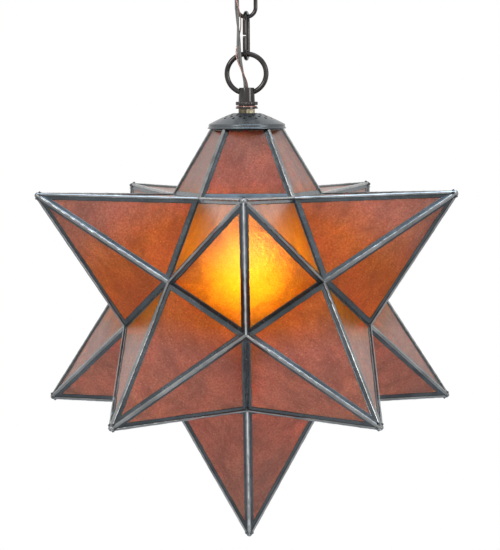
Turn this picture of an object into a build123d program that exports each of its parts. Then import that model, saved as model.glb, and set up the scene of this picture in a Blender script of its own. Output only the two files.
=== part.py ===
from build123d import *

import math
import os

# A Moravian star pendant: twelve five-sided mica points in dark came on a twelve-sided core,
# hung from a vented cap, a ring and two chain links under a ceiling canopy.
# Frame, in millimetres: +Z up, z = 0 the ceiling, the origin on the crossbar's centre,
# -Y towards the viewer, +X to the viewer's right. A "rise" is a height above the star's centre,
# and an azimuth is a turn about the vertical axis, 0 at the front and 90 at the right.

# ---- driving dimensions ----

# The star
star_width = 406.4  # across the left and right upper tips, a 16 inch star
core_slimness = 0.952  # the core's size over that of the exact stellated dodecahedron
mica_thickness = 1.0
mica_margin = 1.5  # from a pane's true edge to the mica's own edge, inside the came
mica_seat_margin = 0.6  # the same under the cap
came_width = 5.0  # how far the came covers each pane
came_seat_width = 1.6  # and how far along the cap, whose brim hides it
came_lip = 0.5  # the came's thickness outside the pane
came_depth = 1.5  # and from the pane's outer face to the came's inner face
came_overshoot = 2.0  # past a seam, before the point's cone cuts it back
ridge_bead_radius = 1.6
corner_drop_radius = 2.4
tip_drop_radius = 3.0
tip_drop_back = 2.5  # the tip drop's centre, behind the true tip
seam_gap = 0.05  # each point's cone is shifted this far outwards, so that no two share a face
door_gap = 0.7  # and the hinged point's this far, which parts it from its neighbours by 0.4

# The cap, and the stack of turned pieces that stands on it
top_ridges_meet = 226.0  # the rise at which the cut-off top point's ridges would meet
seat_rise = 168.0  # where the top point is cut off and the cap sits on it
cap_top_rise = 183.4
cap_crown_radius = 12.5  # its flat middle
cap_crown_ease = 3.1  # the round edge from the flat to the slope, outwards
cap_crown_drop = 0.8  # and downwards
cap_shoulder_drop = 10.2  # from the top to where the slope ends above the brim
cap_brim_radius = 38.8
cap_brim_thickness = 1.1
cap_brim_flare = 0.9  # how far the brim's foot stands out from its upright part
cap_thickness = 1.0
vent_rows = ((18.0, 0), (21.7, 0.5), (25.4, 0))  # radius, and stagger in holes
vents_per_row = 14
vents_turn = 8.9  # the first hole's turn from the right
vent_radius = 1.2
nut_height = 4.2
washer_height = 1.6
groove_height = 2.0
collar_height = 3.4
collar_radius = 11.0
collar_flutes = 20
neck_height = 13.8
neck_radii = (8.2, 7.5)  # at the collar and at the ring
ring_centre_radius = 19.3
ring_wire_radius = 2.5
nipple_radius = 4.9
nipple_bore = 3.4
nipple_seat = 11.8  # how deep a nipple stands in its loop
nipple_in_socket = 6.0
lock_nut_height = 3.2
lock_nut_width = 16.2  # across corners
nut_width = 18.6
fit_gap = 0.05  # round a nipple

# The chain
link_height = 49.1
link_width = 22.5
link_wire_radius = 2.0
link_gap = 0.2  # between the wires of two links that bear on each other
link_seam = 0.9
low_link_turn = 9.0  # the lowest link is turned this far from side-on

# The socket and the bulb
globe_rise = 28.0
globe_radius = 30.0
bulb_base_rise = 80.0
bulb_base_top_rise = 102.0
bulb_base_radius = 12.9
bulb_thread_pitch = 3.6
screw_shell_radius = 13.7
socket_radius = 17.5
socket_floor_rise = 76.0
socket_puck_rise = 104.5
socket_cap_rise = 112.0
socket_top_rise = 122.0

# The ceiling fitting
canopy_radius = 63.5
canopy_drop = 34.0
canopy_thickness = 1.0
canopy_flat_radius = 15.0  # its flat middle, round the loop's collar
canopy_rim_height = 4.0
slot_half_spacing = 39.7  # two slots that take screws 69.9 to 88.9 apart
slot_width = 4.6
slot_length = 14.1
crossbar_thickness = 2.0
crossbar_width = 16.0
crossbar_drop = 15.0  # the underside of its middle
crossbar_length = 102.0
crossbar_tab_start = 30.0  # from the centre to where a tab under the ceiling starts
crossbar_middle = 34.0  # the length of its lowered middle
ground_screw_place = 12.2  # to the right of the centre
ground_screw_radius = 1.85
ground_screw_head = 2.0

# The cord and the bare ground wire
cord_radius = 2.2
lead_radius = 0.9
ground_wire_radius = 0.5

# ---- places that follow from them ----

golden = (1 + math.sqrt(5)) / 2
tip_radius = star_width / (4 / math.sqrt(5) * math.sin(math.radians(72)))
core_radius = tip_radius * core_slimness * math.sqrt(3) / (2 * golden * math.sin(math.radians(72)))
core_edge = core_radius * 2 / (math.sqrt(3) * golden)
core_in_radius = core_edge * golden**2 / (2 * math.sqrt(3 - golden))
small_ring_radius = core_edge / (2 * math.sin(math.radians(36)))
wide_ring_radius = small_ring_radius * golden
wide_ring_rise = math.sqrt(core_radius**2 - wide_ring_radius**2)

nut_rise = cap_top_rise
washer_rise = nut_rise + nut_height
groove_rise = washer_rise + washer_height
collar_rise = groove_rise + groove_height
neck_rise = collar_rise + collar_height
neck_top_rise = neck_rise + neck_height
ring_rise = neck_top_rise + neck_height
link_pitch = link_height - 4 * link_wire_radius - link_gap
low_link_pin_rise = ring_rise + ring_centre_radius - ring_wire_radius - link_gap - link_wire_radius
link_span = link_height - 2 * link_wire_radius
mid_link_pin_rise = low_link_pin_rise + link_pitch
top_ring_pin_rise = mid_link_pin_rise + link_span - link_wire_radius - link_gap - ring_wire_radius
top_ring_rise = top_ring_pin_rise + ring_centre_radius
star_z = -(top_ring_rise + 2 * neck_height + collar_height + canopy_drop)

os.makedirs("parts", exist_ok=True)


def keep(piece, name):
    """Label a finished piece and write it as its own file."""
    piece.part.label = name
    export_step(piece.part, f"parts/{name}.step")


def at(radius, azimuth, rise):
    """The place at a radius from the vertical axis, an azimuth and a rise."""
    turn = math.radians(azimuth)
    return Vector(radius * math.sin(turn), -radius * math.cos(turn), star_z + rise)


def level(rise):
    """The level plane at a rise."""
    return Plane.XY.offset(star_z + rise)


# ---- the star's points ----
# Four rings of five corners make the core: a and b above its middle, c and d below.
core_rings = {
    "a": (small_ring_radius, core_in_radius),
    "b": (wide_ring_radius, wide_ring_rise),
    "c": (wide_ring_radius, -wide_ring_rise),
    "d": (small_ring_radius, -core_in_radius),
}
star_centre = at(0, 0, 0)


def corners(*places):
    """Corners of the core, each from its ring's letter and its azimuth."""
    return [at(core_rings[ring][0], azimuth, core_rings[ring][1]) for ring, azimuth in places]


def side_tip(azimuth, side):
    """The tip of a side point: side is 1 for an upper one and -1 for a lower one."""
    return at(tip_radius * 2 / math.sqrt(5), azimuth, side * tip_radius / math.sqrt(5))


fifths = (0, 72, 144, -144, -72)
upper_names = ("front", "right_front", "right_back", "left_back", "left_front")
lower_names = ("back", "left_back", "left_front", "right_front", "right_back")
hinged_point = "upper_right_back"

star_points = {
    "top": (at(0, 0, top_ridges_meet), corners(*[("a", turn + 36) for turn in fifths])),
    "bottom": (at(0, 0, -tip_radius), corners(*[("d", turn) for turn in fifths])),
}
for name, turn in zip(upper_names, fifths):
    places = (("a", turn - 36), ("a", turn + 36), ("b", turn + 36), ("c", turn), ("b", turn - 36))
    star_points[f"upper_{name}"] = (side_tip(turn, 1), corners(*places))
for name, turn in zip(lower_names, [turn + 180 for turn in fifths]):
    places = (("c", turn - 36), ("b", turn), ("c", turn + 36), ("d", turn + 36), ("d", turn - 36))
    star_points[f"lower_{name}"] = (side_tip(turn, -1), corners(*places))


def inset(outline, amounts):
    """Move each side of a counter-clockwise outline inwards by its own amount."""
    sides = []
    for i, (x, y) in enumerate(outline):
        next_x, next_y = outline[(i + 1) % len(outline)]
        length = math.hypot(next_x - x, next_y - y)
        along = ((next_x - x) / length, (next_y - y) / length)
        sides.append((x - along[1] * amounts[i], y + along[0] * amounts[i], *along))
    moved = []
    for i, (x, y, dx, dy) in enumerate(sides):
        last_x, last_y, last_dx, last_dy = sides[i - 1]
        reach = ((x - last_x) * dy - (y - last_y) * dx) / (last_dx * dy - last_dy * dx)
        moved.append((last_x + reach * last_dx, last_y + reach * last_dy))
    return moved


def panes_of(name):
    """Each pane of a point as its plane, its outline there, and which sides lie on the core or cap."""
    tip, base = star_points[name]
    panes = []
    for start, end in zip(base, base[1:] + base[:1]):
        if (end - start).cross(tip - start).dot((start + end) * 0.5 - star_centre) < 0:
            start, end = end, start
        plane = Plane(origin=start, x_dir=end - start, z_dir=(end - start).cross(tip - start))
        outline = [start, end, tip]
        open_sides = (True, False, False)
        if name == "top":
            share = (star_z + seat_rise - start.Z) / (tip.Z - start.Z)
            outline[2:] = [end + (tip - end) * share, start + (tip - start) * share]
            open_sides = (True, False, True, False)
        outline = [plane.to_local_coords(corner) for corner in outline]
        panes.append((plane, [(corner.X, corner.Y) for corner in outline], open_sides))
    return panes


def territory(name):
    """The cone from the star's centre through a point's base, which no other point enters."""
    tip, base = star_points[name]
    middle = sum(base[1:], base[0]) * 0.2
    axis = (middle - star_centre).normalized()
    shift = door_gap if name == hinged_point else seam_gap
    far = seat_rise - seam_gap if name == "top" else 1.1 * tip_radius
    with BuildPart() as cone:
        for distance in (0.5 * core_in_radius, far):
            plane = Plane(
                origin=star_centre + axis * (distance + shift),
                x_dir=base[0] - middle,
                z_dir=axis,
            )
            with BuildSketch(plane):
                RegularPolygon(small_ring_radius * distance / core_in_radius, 5)
        loft(ruled=True)
    return cone.part


def made_point(name):
    """A point's mica, in five panes, and the came round them, as two solid groups."""
    tip, base = star_points[name]
    panes = panes_of(name)
    with BuildPart() as mica:
        for plane, outline, open_sides in panes:
            margins = [mica_margin] * len(outline)
            if len(outline) == 4:
                margins[2] = mica_seat_margin
            with BuildSketch(plane.offset(-mica_thickness)):
                Polygon(*inset(outline, margins), align=None)
            extrude(amount=mica_thickness)

    # The came has a solder bead on each ridge, and solder drops at the corners and the tip
    with BuildPart() as came:
        for plane, outline, open_sides in panes:
            past_the_seam = [-came_overshoot if is_open else 0 for is_open in open_sides]
            with BuildSketch(plane.offset(-came_depth)):
                Polygon(*inset(outline, past_the_seam), align=None)
                covers = [came_width] * len(outline)
                if len(outline) == 4:
                    covers[2] = came_seat_width
                Polygon(*inset(outline, covers), align=None, mode=Mode.SUBTRACT)
            extrude(amount=came_depth + came_lip)
        for corner in base:
            with BuildSketch(Plane(origin=corner, z_dir=tip - corner)):
                Circle(ridge_bead_radius)
            extrude(amount=(tip - corner).length - tip_drop_back)
        with Locations(*base):
            Sphere(corner_drop_radius)
        with Locations(tip - (tip - star_centre).normalized() * tip_drop_back):
            Sphere(tip_drop_radius)
        add(mica.part, mode=Mode.SUBTRACT)
        add(territory(name), mode=Mode.INTERSECT)
    return mica.part, came.part


# The plain points are all alike, so one is made and the others are copies of it.
patterns = {}
for name, (_, base) in star_points.items():
    pattern = name if name in ("top", hinged_point) else "plain"
    point_frame = Plane(
        origin=star_centre, x_dir=base[0] - base[1], z_dir=(base[1] - base[0]).cross(base[2] - base[1])
    ).location
    if pattern not in patterns:
        patterns[pattern] = (point_frame, *made_point(name))
    pattern_frame, *pieces = patterns[pattern]
    for piece, word in zip(pieces, ("mica", "came")):
        with BuildPart() as placed:
            add(piece.moved(point_frame * pattern_frame.inverse()))
        keep(placed, f"{word}_{name}")


# ---- the hinge of the point that opens for the bulb, and its turn latch ----
hinge_length = 46.0
hinge_leaf_thickness = 0.7
hinge_leaf_start = 0.8  # from the seam
hinge_height = 3.45  # of the pin's axis above each came's pane
knuckle_radius = 1.8
knuckle_gap = 0.3
hinge_pin_radius = 0.9
hinge_pin_head_radius = 1.7
hinge_web = 1.8
knuckles = 5

latch_post_seat = 3.0  # from the seam
latch_tab_height = 5.6
latch_tab_thickness = 0.8
latch_tab_width = 4.0
latch_tab_ends = (-1.5, 11.0)  # from the seam, over the hinged point and over its neighbour
latch_collar_radius = 1.6
latch_shank_radius = 0.9
latch_head_height = 0.8


def seam_plane(start, end, share, tip):
    """A section across a seam: X runs out from it along the pane below tip, Y out of that pane."""
    outward = (end - start).cross(tip - start).normalized()
    if outward.dot((start + end) * 0.5 - star_centre) < 0:
        outward = -outward
    along = (end - start).normalized()
    away = outward.cross(along)
    if away.dot(tip - start) < 0:
        away = -away
    return Plane(origin=start + (end - start) * share, x_dir=away, z_dir=away.cross(outward))


hinge_start, hinge_end = corners(("a", 180), ("a", 108))
star_side = seam_plane(hinge_start, hinge_end, 0.5, star_points["top"][0])
door_side = seam_plane(hinge_start, hinge_end, 0.5, star_points[hinged_point][0])
half_wedge = math.radians(star_side.x_dir.get_angle(door_side.x_dir) / 2)
hinge_foot = hinge_height / math.tan(half_wedge)
segment = hinge_length / knuckles


def hinge_leaf(section, own_knuckles):
    """A leaf along the came, with its knuckles on webs; the section's Z runs along the seam."""
    with BuildPart() as leaf:
        with BuildSketch(section.offset(-hinge_length / 2)):
            with Locations((hinge_leaf_start, came_lip)):
                leaf_width = came_width - hinge_leaf_start
                Rectangle(leaf_width, hinge_leaf_thickness, align=(Align.MIN, Align.MIN))
        extrude(amount=hinge_length)
        for i in own_knuckles:
            first = -hinge_length / 2 + i * segment + knuckle_gap / 2
            with BuildSketch(section.offset(first)):
                with Locations((hinge_foot, hinge_height)):
                    Circle(knuckle_radius)
                with Locations((hinge_foot, came_lip)):
                    Rectangle(hinge_web, hinge_height - came_lip, align=(Align.CENTER, Align.MIN))
            extrude(amount=segment - knuckle_gap)
        with BuildSketch(section.offset(-hinge_length / 2)):
            with Locations((hinge_foot, hinge_height)):
                Circle(hinge_pin_radius + fit_gap)
        extrude(amount=hinge_length, mode=Mode.SUBTRACT)
    return leaf


keep(hinge_leaf(star_side, (0, 2, 4)), "hinge_leaf_star")
keep(hinge_leaf(door_side, (1, 3)), "hinge_leaf_door")

with BuildPart() as hinge_pin:
    for distance, radius, length in (
        (-hinge_length / 2, hinge_pin_radius, hinge_length),
        (-hinge_length / 2 - 1, hinge_pin_head_radius, 1 + knuckle_gap / 2),
        (hinge_length / 2 - knuckle_gap / 2, hinge_pin_head_radius, 1),
    ):
        with BuildSketch(star_side.offset(distance)):
            with Locations((hinge_foot, hinge_height)):
                Circle(radius)
        extrude(amount=length)
keep(hinge_pin, "hinge_pin")
hinge_axis_point = star_side.from_local_coords((hinge_foot, hinge_height, 0))

latch_start, latch_end = corners(("b", 180), ("c", 144))
latch_side = seam_plane(latch_start, latch_end, 0.6, star_points["lower_back"][0])
latch_out = latch_side.y_dir
latch_foot = latch_side.from_local_coords((latch_post_seat, 0, 0))
latch_face = Plane(origin=latch_foot, x_dir=latch_side.x_dir, z_dir=latch_out)
latch_top = latch_tab_height + latch_tab_thickness + fit_gap

with BuildPart() as latch_post:
    for height, radius, length in (
        (came_lip, latch_collar_radius, latch_tab_height - came_lip - fit_gap),
        (came_lip, latch_shank_radius, latch_top - came_lip),
        (latch_top, latch_collar_radius, latch_head_height),
    ):
        with BuildSketch(latch_face.offset(height)):
            Circle(radius)
        extrude(amount=length)
keep(latch_post, "latch_post")

with BuildPart() as latch_tab:
    with BuildSketch(latch_face.offset(latch_tab_height)):
        low, high = [end - latch_post_seat for end in latch_tab_ends]
        with Locations(((low + high) / 2, 0)):
            SlotOverall(high - low, latch_tab_width)
        Circle(latch_shank_radius + fit_gap, mode=Mode.SUBTRACT)
    extrude(amount=latch_tab_thickness)
keep(latch_tab, "latch_tab")


# ---- the cap and the stack on it ----
def turned(name, *outline):
    """A round piece about the vertical axis, from (radius, rise) corners."""
    with BuildPart() as piece:
        with BuildSketch(Plane.XZ):
            Polygon(*[(radius, star_z + rise) for radius, rise in outline], align=None)
        revolve(axis=Axis.Z)
    keep(piece, name)


def ring_section(inner, outer, low, high):
    """The corners of a plain ring's section."""
    return ((inner, low), (outer, low), (outer, high), (inner, high))


bore = nipple_radius + fit_gap
with BuildPart() as vented_cap:
    with BuildSketch(Plane.XZ):
        with BuildLine():
            top = star_z + cap_top_rise
            low = star_z + seat_rise
            flat = cap_crown_radius
            slope_start = (flat + cap_crown_ease, top - cap_crown_drop)
            upright = cap_brim_radius - cap_brim_flare
            shoulder = (upright - 1.5, top - cap_shoulder_drop)
            brim_top = (upright, shoulder[1] - 1.8)
            inner = upright - cap_brim_thickness
            under = 1.1 * cap_thickness  # the wall's height under the slope
            Line((bore, top), (flat, top))
            easing = (flat + 0.53 * cap_crown_ease, top - 0.25 * cap_crown_drop)
            ThreePointArc((flat, top), easing, slope_start)
            Line(slope_start, shoulder)
            ThreePointArc(shoulder, (upright - 0.5, shoulder[1] - 0.7), brim_top)
            Polyline(
                brim_top,
                (upright, low + 2.4),
                (cap_brim_radius, low + 0.5),
                (cap_brim_radius - 0.2, low),
                (inner, low),
                (inner, brim_top[1]),
                (shoulder[0] - 0.5, shoulder[1] - under),
                (slope_start[0] - 0.3, slope_start[1] - under),
                (flat + 0.2, top - cap_thickness),
                (bore, top - cap_thickness),
                (bore, top),
            )
        make_face()
    revolve(axis=Axis.Z)
    for radius, stagger in vent_rows:
        with BuildSketch(level(seat_rise)):
            start = vents_turn + stagger * 360 / vents_per_row
            with PolarLocations(radius, vents_per_row, start_angle=start):
                Circle(vent_radius)
        extrude(amount=cap_top_rise - seat_rise + 1, mode=Mode.SUBTRACT)
keep(vented_cap, "vented_cap")


def hex_nut(name, plane, across_corners, height):
    """A hexagon nut round a nipple."""
    with BuildPart() as nut:
        with BuildSketch(plane):
            RegularPolygon(across_corners / 2, 6, rotation=30)
            Circle(bore, mode=Mode.SUBTRACT)
        extrude(amount=height)
        chamfer(nut.faces().sort_by(Axis.Z)[-1].outer_wire().edges(), 0.4)
    keep(nut, name)


hex_nut("hex_nut", level(nut_rise), nut_width, nut_height)
lock_nut_low = level(cap_top_rise - cap_thickness - lock_nut_height)
hex_nut("inner_lock_nut", lock_nut_low, lock_nut_width, lock_nut_height)
turned("seat_washer", *ring_section(bore, collar_radius, washer_rise, groove_rise))
nipple_low = socket_top_rise - nipple_in_socket
nipple_high = collar_rise + nipple_seat
turned("lamp_nipple", *ring_section(nipple_bore, nipple_radius, nipple_low, nipple_high))


def screw_collar_loop(name, base, ring_plane, spigot):
    """A cast ring on a hollow neck over a fluted collar; spigot is the short plain end below it."""
    toward_ring = base.z_dir
    with BuildPart() as loop:
        with BuildSketch(base.offset(-spigot)):
            Circle(neck_radii[0])
        extrude(amount=spigot + collar_height)
        with BuildSketch(base):
            Circle(collar_radius)
            with PolarLocations(collar_radius + 0.3, collar_flutes):
                Circle(0.8, mode=Mode.SUBTRACT)
        extrude(amount=collar_height)
        with BuildSketch(base.offset(collar_height)):
            Circle(neck_radii[0])
        with BuildSketch(base.offset(collar_height + neck_height)):
            Circle(neck_radii[1])
        loft()
        middle = base.origin + toward_ring * (collar_height + 2 * neck_height)
        with Locations(Plane(origin=middle, z_dir=ring_plane.z_dir)):
            Torus(ring_centre_radius, ring_wire_radius)
        with BuildSketch(base.offset(-spigot)):
            Circle(bore)
        extrude(amount=spigot + nipple_seat, mode=Mode.SUBTRACT)
        with BuildSketch(base.offset(nipple_seat)):
            Circle(nipple_bore + 0.1)
        extrude(amount=collar_height + neck_height - nipple_seat + 4, mode=Mode.SUBTRACT)
    keep(loop, name)


screw_collar_loop("lamp_loop", level(collar_rise), Plane.XZ, groove_height)

# The bare wire's end, wound one turn and a bit round the spigot under the collar
wrap_radius = neck_radii[0] + ground_wire_radius
wrap_low = star_z + groove_rise + ground_wire_radius
with BuildPart() as ground_wrap:
    with BuildLine():
        start = (0, -wrap_radius, wrap_low + 0.1)
        CenterArc((0, 0, wrap_low + 0.1), wrap_radius, -90, 330)
    with BuildSketch(Plane(origin=start, z_dir=(1, 0, 0))):
        Circle(ground_wire_radius)
    sweep()
keep(ground_wrap, "ground_wrap")


# ---- the socket and the bulb ----
turned(
    "socket_cap",
    (bore, socket_cap_rise + 2),
    (bore, socket_top_rise),
    (7.2, socket_top_rise),
    (8.0, socket_cap_rise + 7),
    (14.5, socket_cap_rise + 3.5),
    (socket_radius, socket_cap_rise),
    (socket_radius - 1, socket_cap_rise),
    (13.8, socket_cap_rise + 2.3),
)
turned(
    "socket_shell",
    *ring_section(socket_radius - 0.9, socket_radius, socket_floor_rise, socket_cap_rise),
)
with BuildPart() as socket_body:
    with BuildSketch(level(socket_puck_rise)):
        Circle(socket_radius - 0.9 - fit_gap)
    extrude(amount=socket_cap_rise - socket_puck_rise)
keep(socket_body, "socket_body")
with BuildPart() as screw_shell:
    with BuildSketch(level(socket_floor_rise + 2)):
        Circle(screw_shell_radius + 0.5)
        Circle(screw_shell_radius, mode=Mode.SUBTRACT)
    extrude(amount=socket_puck_rise - socket_floor_rise - 2)
keep(screw_shell, "screw_shell")

# The bulb: a frosted globe that narrows into its screw base, with a filament on a stem inside
neck_radius = bulb_base_radius - 0.9
glass_thickness = 0.8
neck_low = 52.0
filament_ring_radius = 8.0
filament_radius = 0.7
with BuildPart() as bulb_globe:
    with BuildSketch(Plane.XZ):
        with BuildLine():
            middle = star_z + globe_rise
            turn = math.asin((neck_low - globe_rise) / 33.0)
            shoulder = (globe_radius * math.cos(turn), middle + globe_radius * math.sin(turn))
            collar = (neck_radius, star_z + bulb_base_rise)
            inner_radius = globe_radius - glass_thickness
            inner_shoulder = (inner_radius * math.cos(turn), middle + inner_radius * math.sin(turn))
            inner_collar = (neck_radius - glass_thickness, star_z + bulb_base_rise)
            Line((0, middle - inner_radius), (0, middle - globe_radius))
            ThreePointArc((0, middle - globe_radius), (globe_radius, middle), shoulder)
            Line(shoulder, collar)
            Line(collar, inner_collar)
            Line(inner_collar, inner_shoulder)
            ThreePointArc(inner_shoulder, (inner_radius, middle), (0, middle - inner_radius))
        make_face()
    revolve(axis=Axis.Z)
keep(bulb_globe, "bulb_globe")

with BuildPart() as bulb_base:
    with BuildSketch(Plane.XZ):
        with BuildLine():
            low = star_z + bulb_base_rise
            high = star_z + bulb_base_top_rise
            crest = bulb_base_radius
            root = crest - 0.8
            profile = [(0, low), (crest, low), (crest, low + 3)]
            height = low + 3
            while height + bulb_thread_pitch < high - 2:
                profile += [
                    (root, height + bulb_thread_pitch / 3),
                    (crest, height + bulb_thread_pitch),
                ]
                height += bulb_thread_pitch
            profile += [(root, high - 1), (6, high + 1), (4, high + 2), (0, high + 2), (0, low)]
            Polyline(*profile)
        make_face()
    revolve(axis=Axis.Z)
keep(bulb_base, "bulb_base")

with BuildPart() as bulb_filament:
    with BuildSketch(Plane.XZ):
        stem_low = star_z + globe_rise + 14
        stem_high = star_z + bulb_base_rise
        Polygon((0, stem_low), (2.2, stem_low), (4.5, stem_high), (0, stem_high), align=None)
    revolve(axis=Axis.Z)
    with Locations((0, 0, stem_low - filament_radius)):
        Torus(filament_ring_radius, filament_radius)
        Box(2 * filament_ring_radius, filament_radius, 2 * filament_radius)
keep(bulb_filament, "bulb_filament")


# ---- the chain ----
def chain_link(name, pin_rise, turn, seam_side):
    """A stadium of round wire standing over its lower pin, turned about the vertical axis."""
    middle = Vector(0, 0, star_z + pin_rise + link_span / 2)
    across = Vector(math.sin(math.radians(turn)), math.cos(math.radians(turn)), 0)
    plane = Plane(origin=middle, x_dir=across, z_dir=across.cross(Vector(0, 0, 1)))
    leg = (link_width - 2 * link_wire_radius) / 2
    straight = link_span / 2 - leg
    with BuildPart() as link:
        with BuildLine(plane):
            Line((leg, 0), (leg, straight))
            ThreePointArc((leg, straight), (0, straight + leg), (-leg, straight))
            Line((-leg, straight), (-leg, -straight))
            ThreePointArc((-leg, -straight), (0, -straight - leg), (leg, -straight))
            Line((leg, -straight), (leg, 0))
        with BuildSketch(Plane(origin=middle + across * leg, z_dir=(0, 0, 1))):
            Circle(link_wire_radius)
        sweep()
        with BuildSketch(Plane(origin=middle + across * leg * seam_side, z_dir=(0, 0, 1))):
            Circle(link_wire_radius + 1)
        extrude(amount=link_seam / 2, both=True, mode=Mode.SUBTRACT)
    keep(link, name)


chain_link("chain_link_low", low_link_pin_rise, low_link_turn, -1)
chain_link("chain_link_high", mid_link_pin_rise, 90, 1)

# ---- the ceiling fitting ----
under_canopy = Plane(origin=(0, 0, -canopy_drop), x_dir=(1, 0, 0), z_dir=(0, 0, -1))
screw_collar_loop("canopy_loop", under_canopy, Plane.YZ, 0)

with BuildPart() as canopy:
    with BuildSketch(Plane.XZ):
        with BuildLine():
            inner = canopy_radius - canopy_thickness
            floor = canopy_thickness - canopy_drop
            flat = canopy_flat_radius
            rim = -canopy_rim_height
            Polyline((bore, floor), (bore, -canopy_drop), (flat, -canopy_drop))
            ThreePointArc((flat, -canopy_drop), (42.5, -26.4), (canopy_radius, rim))
            Polyline((canopy_radius, rim), (canopy_radius, 0), (inner, 0), (inner, rim))
            ThreePointArc((inner, rim), (41.9, -25.5), (flat, floor))
            Line((flat, floor), (bore, floor))
        make_face()
    revolve(axis=Axis.Z)
keep(canopy, "canopy")

with BuildPart() as crossbar:
    with BuildSketch(Plane.XZ.offset(-crossbar_width / 2)):
        with BuildLine():
            low = -crossbar_drop
            step = crossbar_thickness
            end = crossbar_length / 2
            tab = crossbar_tab_start
            middle = crossbar_middle / 2
            Polyline(
                (-end, 0),
                (-end, -step),
                (-tab, -step),
                (-middle, low),
                (middle, low),
                (tab, -step),
                (end, -step),
                (end, 0),
                (tab - 1, 0),
                (middle - 1, low + step),
                (1 - middle, low + step),
                (1 - tab, 0),
                close=True,
            )
        make_face()
    extrude(amount=crossbar_width)
    with BuildSketch(Plane.XY.offset(-crossbar_drop - 1)):
        with Locations((-slot_half_spacing, 0), (slot_half_spacing, 0)):
            SlotOverall(slot_length, slot_width)
        Circle(bore)
        with Locations((ground_screw_place, 0)):
            Circle(ground_screw_radius + fit_gap)
    extrude(amount=crossbar_drop + 2, mode=Mode.SUBTRACT)
keep(crossbar, "crossbar")

ceiling_nipple_top = 4 - crossbar_drop
ceiling_nipple_low = -canopy_drop - nipple_seat
with BuildPart() as ceiling_nipple:
    with BuildSketch(Plane.XY.offset(ceiling_nipple_low)):
        Circle(nipple_radius)
        Circle(nipple_bore, mode=Mode.SUBTRACT)
    extrude(amount=ceiling_nipple_top - ceiling_nipple_low)
keep(ceiling_nipple, "ceiling_nipple")
lock_nut_low = Plane.XY.offset(-crossbar_drop - lock_nut_height)
hex_nut("ceiling_lock_nut", lock_nut_low, lock_nut_width, lock_nut_height)

with BuildPart() as ground_screw:
    with BuildSketch(Plane.XY.offset(-crossbar_drop)):
        with Locations((ground_screw_place, 0)):
            Circle(ground_screw_radius)
    extrude(amount=crossbar_thickness + 1)
    with BuildSketch(Plane.XY.offset(-crossbar_drop - ground_screw_head)):
        with Locations((ground_screw_place, 0)):
            RegularPolygon(3.3, 6)
    extrude(amount=ground_screw_head)
keep(ground_screw, "ground_screw")

# ---- the cord up the chain, with the bare ground wire wound loosely round it ----
# Each row: x, y and rise of the cord, then the ground wire's turn round it and distance from it.
cord_route = (
    (-1.0, 0.0, 205.0, -35, 3.0),
    (-1.0, 0.0, 212.5, -35, 3.0),
    (-3.8, -4.4, 223.5, -90, 3.3),
    (-6.2, -8.2, 234.5, -145, 3.5),
    (-7.3, -9.0, 244.5, -205, 3.5),
    (-7.5, -8.4, 254.0, -260, 3.4),
    (-7.8, -7.6, 265.4, -315, 3.4),
    (-8.4, -7.3, 275.5, -365, 3.4),
    (-8.8, -7.9, 285.5, -415, 3.4),
    (-9.0, -8.3, 295.0, -465, 3.4),
    (-9.1, -7.7, 305.5, -515, 3.4),
    (-8.9, -7.0, 317.0, -570, 3.5),
    (-6.9, -5.0, 328.5, -625, 3.5),
    (-2.8, -1.7, 339.0, -675, 3.4),
    (-0.9, 0.0, 347.0, -725, 3.0),
    (-0.9, 0.0, 354.5, -725, 3.0),
)
# The cord is cut in the middle of each link, so that each stretch bends over one joint alone.
stretch_names = ("low", "mid", "high")
rows_below_cuts = (6, 10)


def cord_point(row):
    """Where the cord passes."""
    x, y, rise, turn, distance = row
    return Vector(x, y, star_z + rise)


def ground_wire_point(row):
    """Where the ground wire passes, beside the cord."""
    turn = math.radians(row[3])
    return cord_point(row) + Vector(math.cos(turn), math.sin(turn), 0) * row[4]


def cut_up(points):
    """The stretches of a route, each from one cut to the next."""
    first, second = rows_below_cuts
    low_cut = (points[first - 1] + points[first]) * 0.5
    high_cut = (points[second - 1] + points[second]) * 0.5
    return (
        points[:first] + [low_cut],
        [low_cut] + points[first:second] + [high_cut],
        [high_cut] + points[second:],
    )


def free_tube(name, route, radius):
    """A round tube along straight runs and the largest tangent arcs that they allow."""
    radii = []
    for before, here, after in zip(route, route[1:], route[2:]):
        half_turn = math.radians((here - before).get_angle(after - here) / 2)
        shorter = min((here - before).length, (after - here).length)
        radii.append(0.45 * shorter / math.tan(half_turn))
    with BuildPart() as tube:
        with BuildLine() as path:
            FilletPolyline(*route, radius=radii)
        with BuildSketch(Plane(origin=route[0], z_dir=route[1] - route[0])):
            Circle(radius)
        sweep()
    length = sum(edge.length for edge in path.edges())
    share = tube.part.volume / (math.pi * radius**2 * length)
    print(f"{name}: {length:.1f} mm, radii {[round(r) for r in radii]}, volume share {share:.4f}")
    keep(tube, name)


cord_stretches = cut_up([cord_point(row) for row in cord_route])
ground_wire_stretches = cut_up([ground_wire_point(row) for row in cord_route])
for name, cord, ground_wire in zip(stretch_names, cord_stretches, ground_wire_stretches):
    free_tube(f"cord_{name}", cord, cord_radius)
    free_tube(f"ground_wire_{name}", ground_wire, ground_wire_radius)

# Inside the lamp's nipple the cord's two leads and the ground wire run straight to the socket
lead_offset = lead_radius + fit_gap
with BuildPart() as socket_leads:
    with BuildSketch(level(socket_cap_rise)):
        low_end = cord_point(cord_route[0])
        with Locations((low_end.X - lead_offset, low_end.Y), (low_end.X + lead_offset, low_end.Y)):
            Circle(lead_radius)
        ground_end = ground_wire_point(cord_route[0])
        with Locations((ground_end.X, ground_end.Y)):
            Circle(ground_wire_radius)
    extrude(amount=cord_route[0][2] - socket_cap_rise)
keep(socket_leads, "socket_leads")

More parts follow.
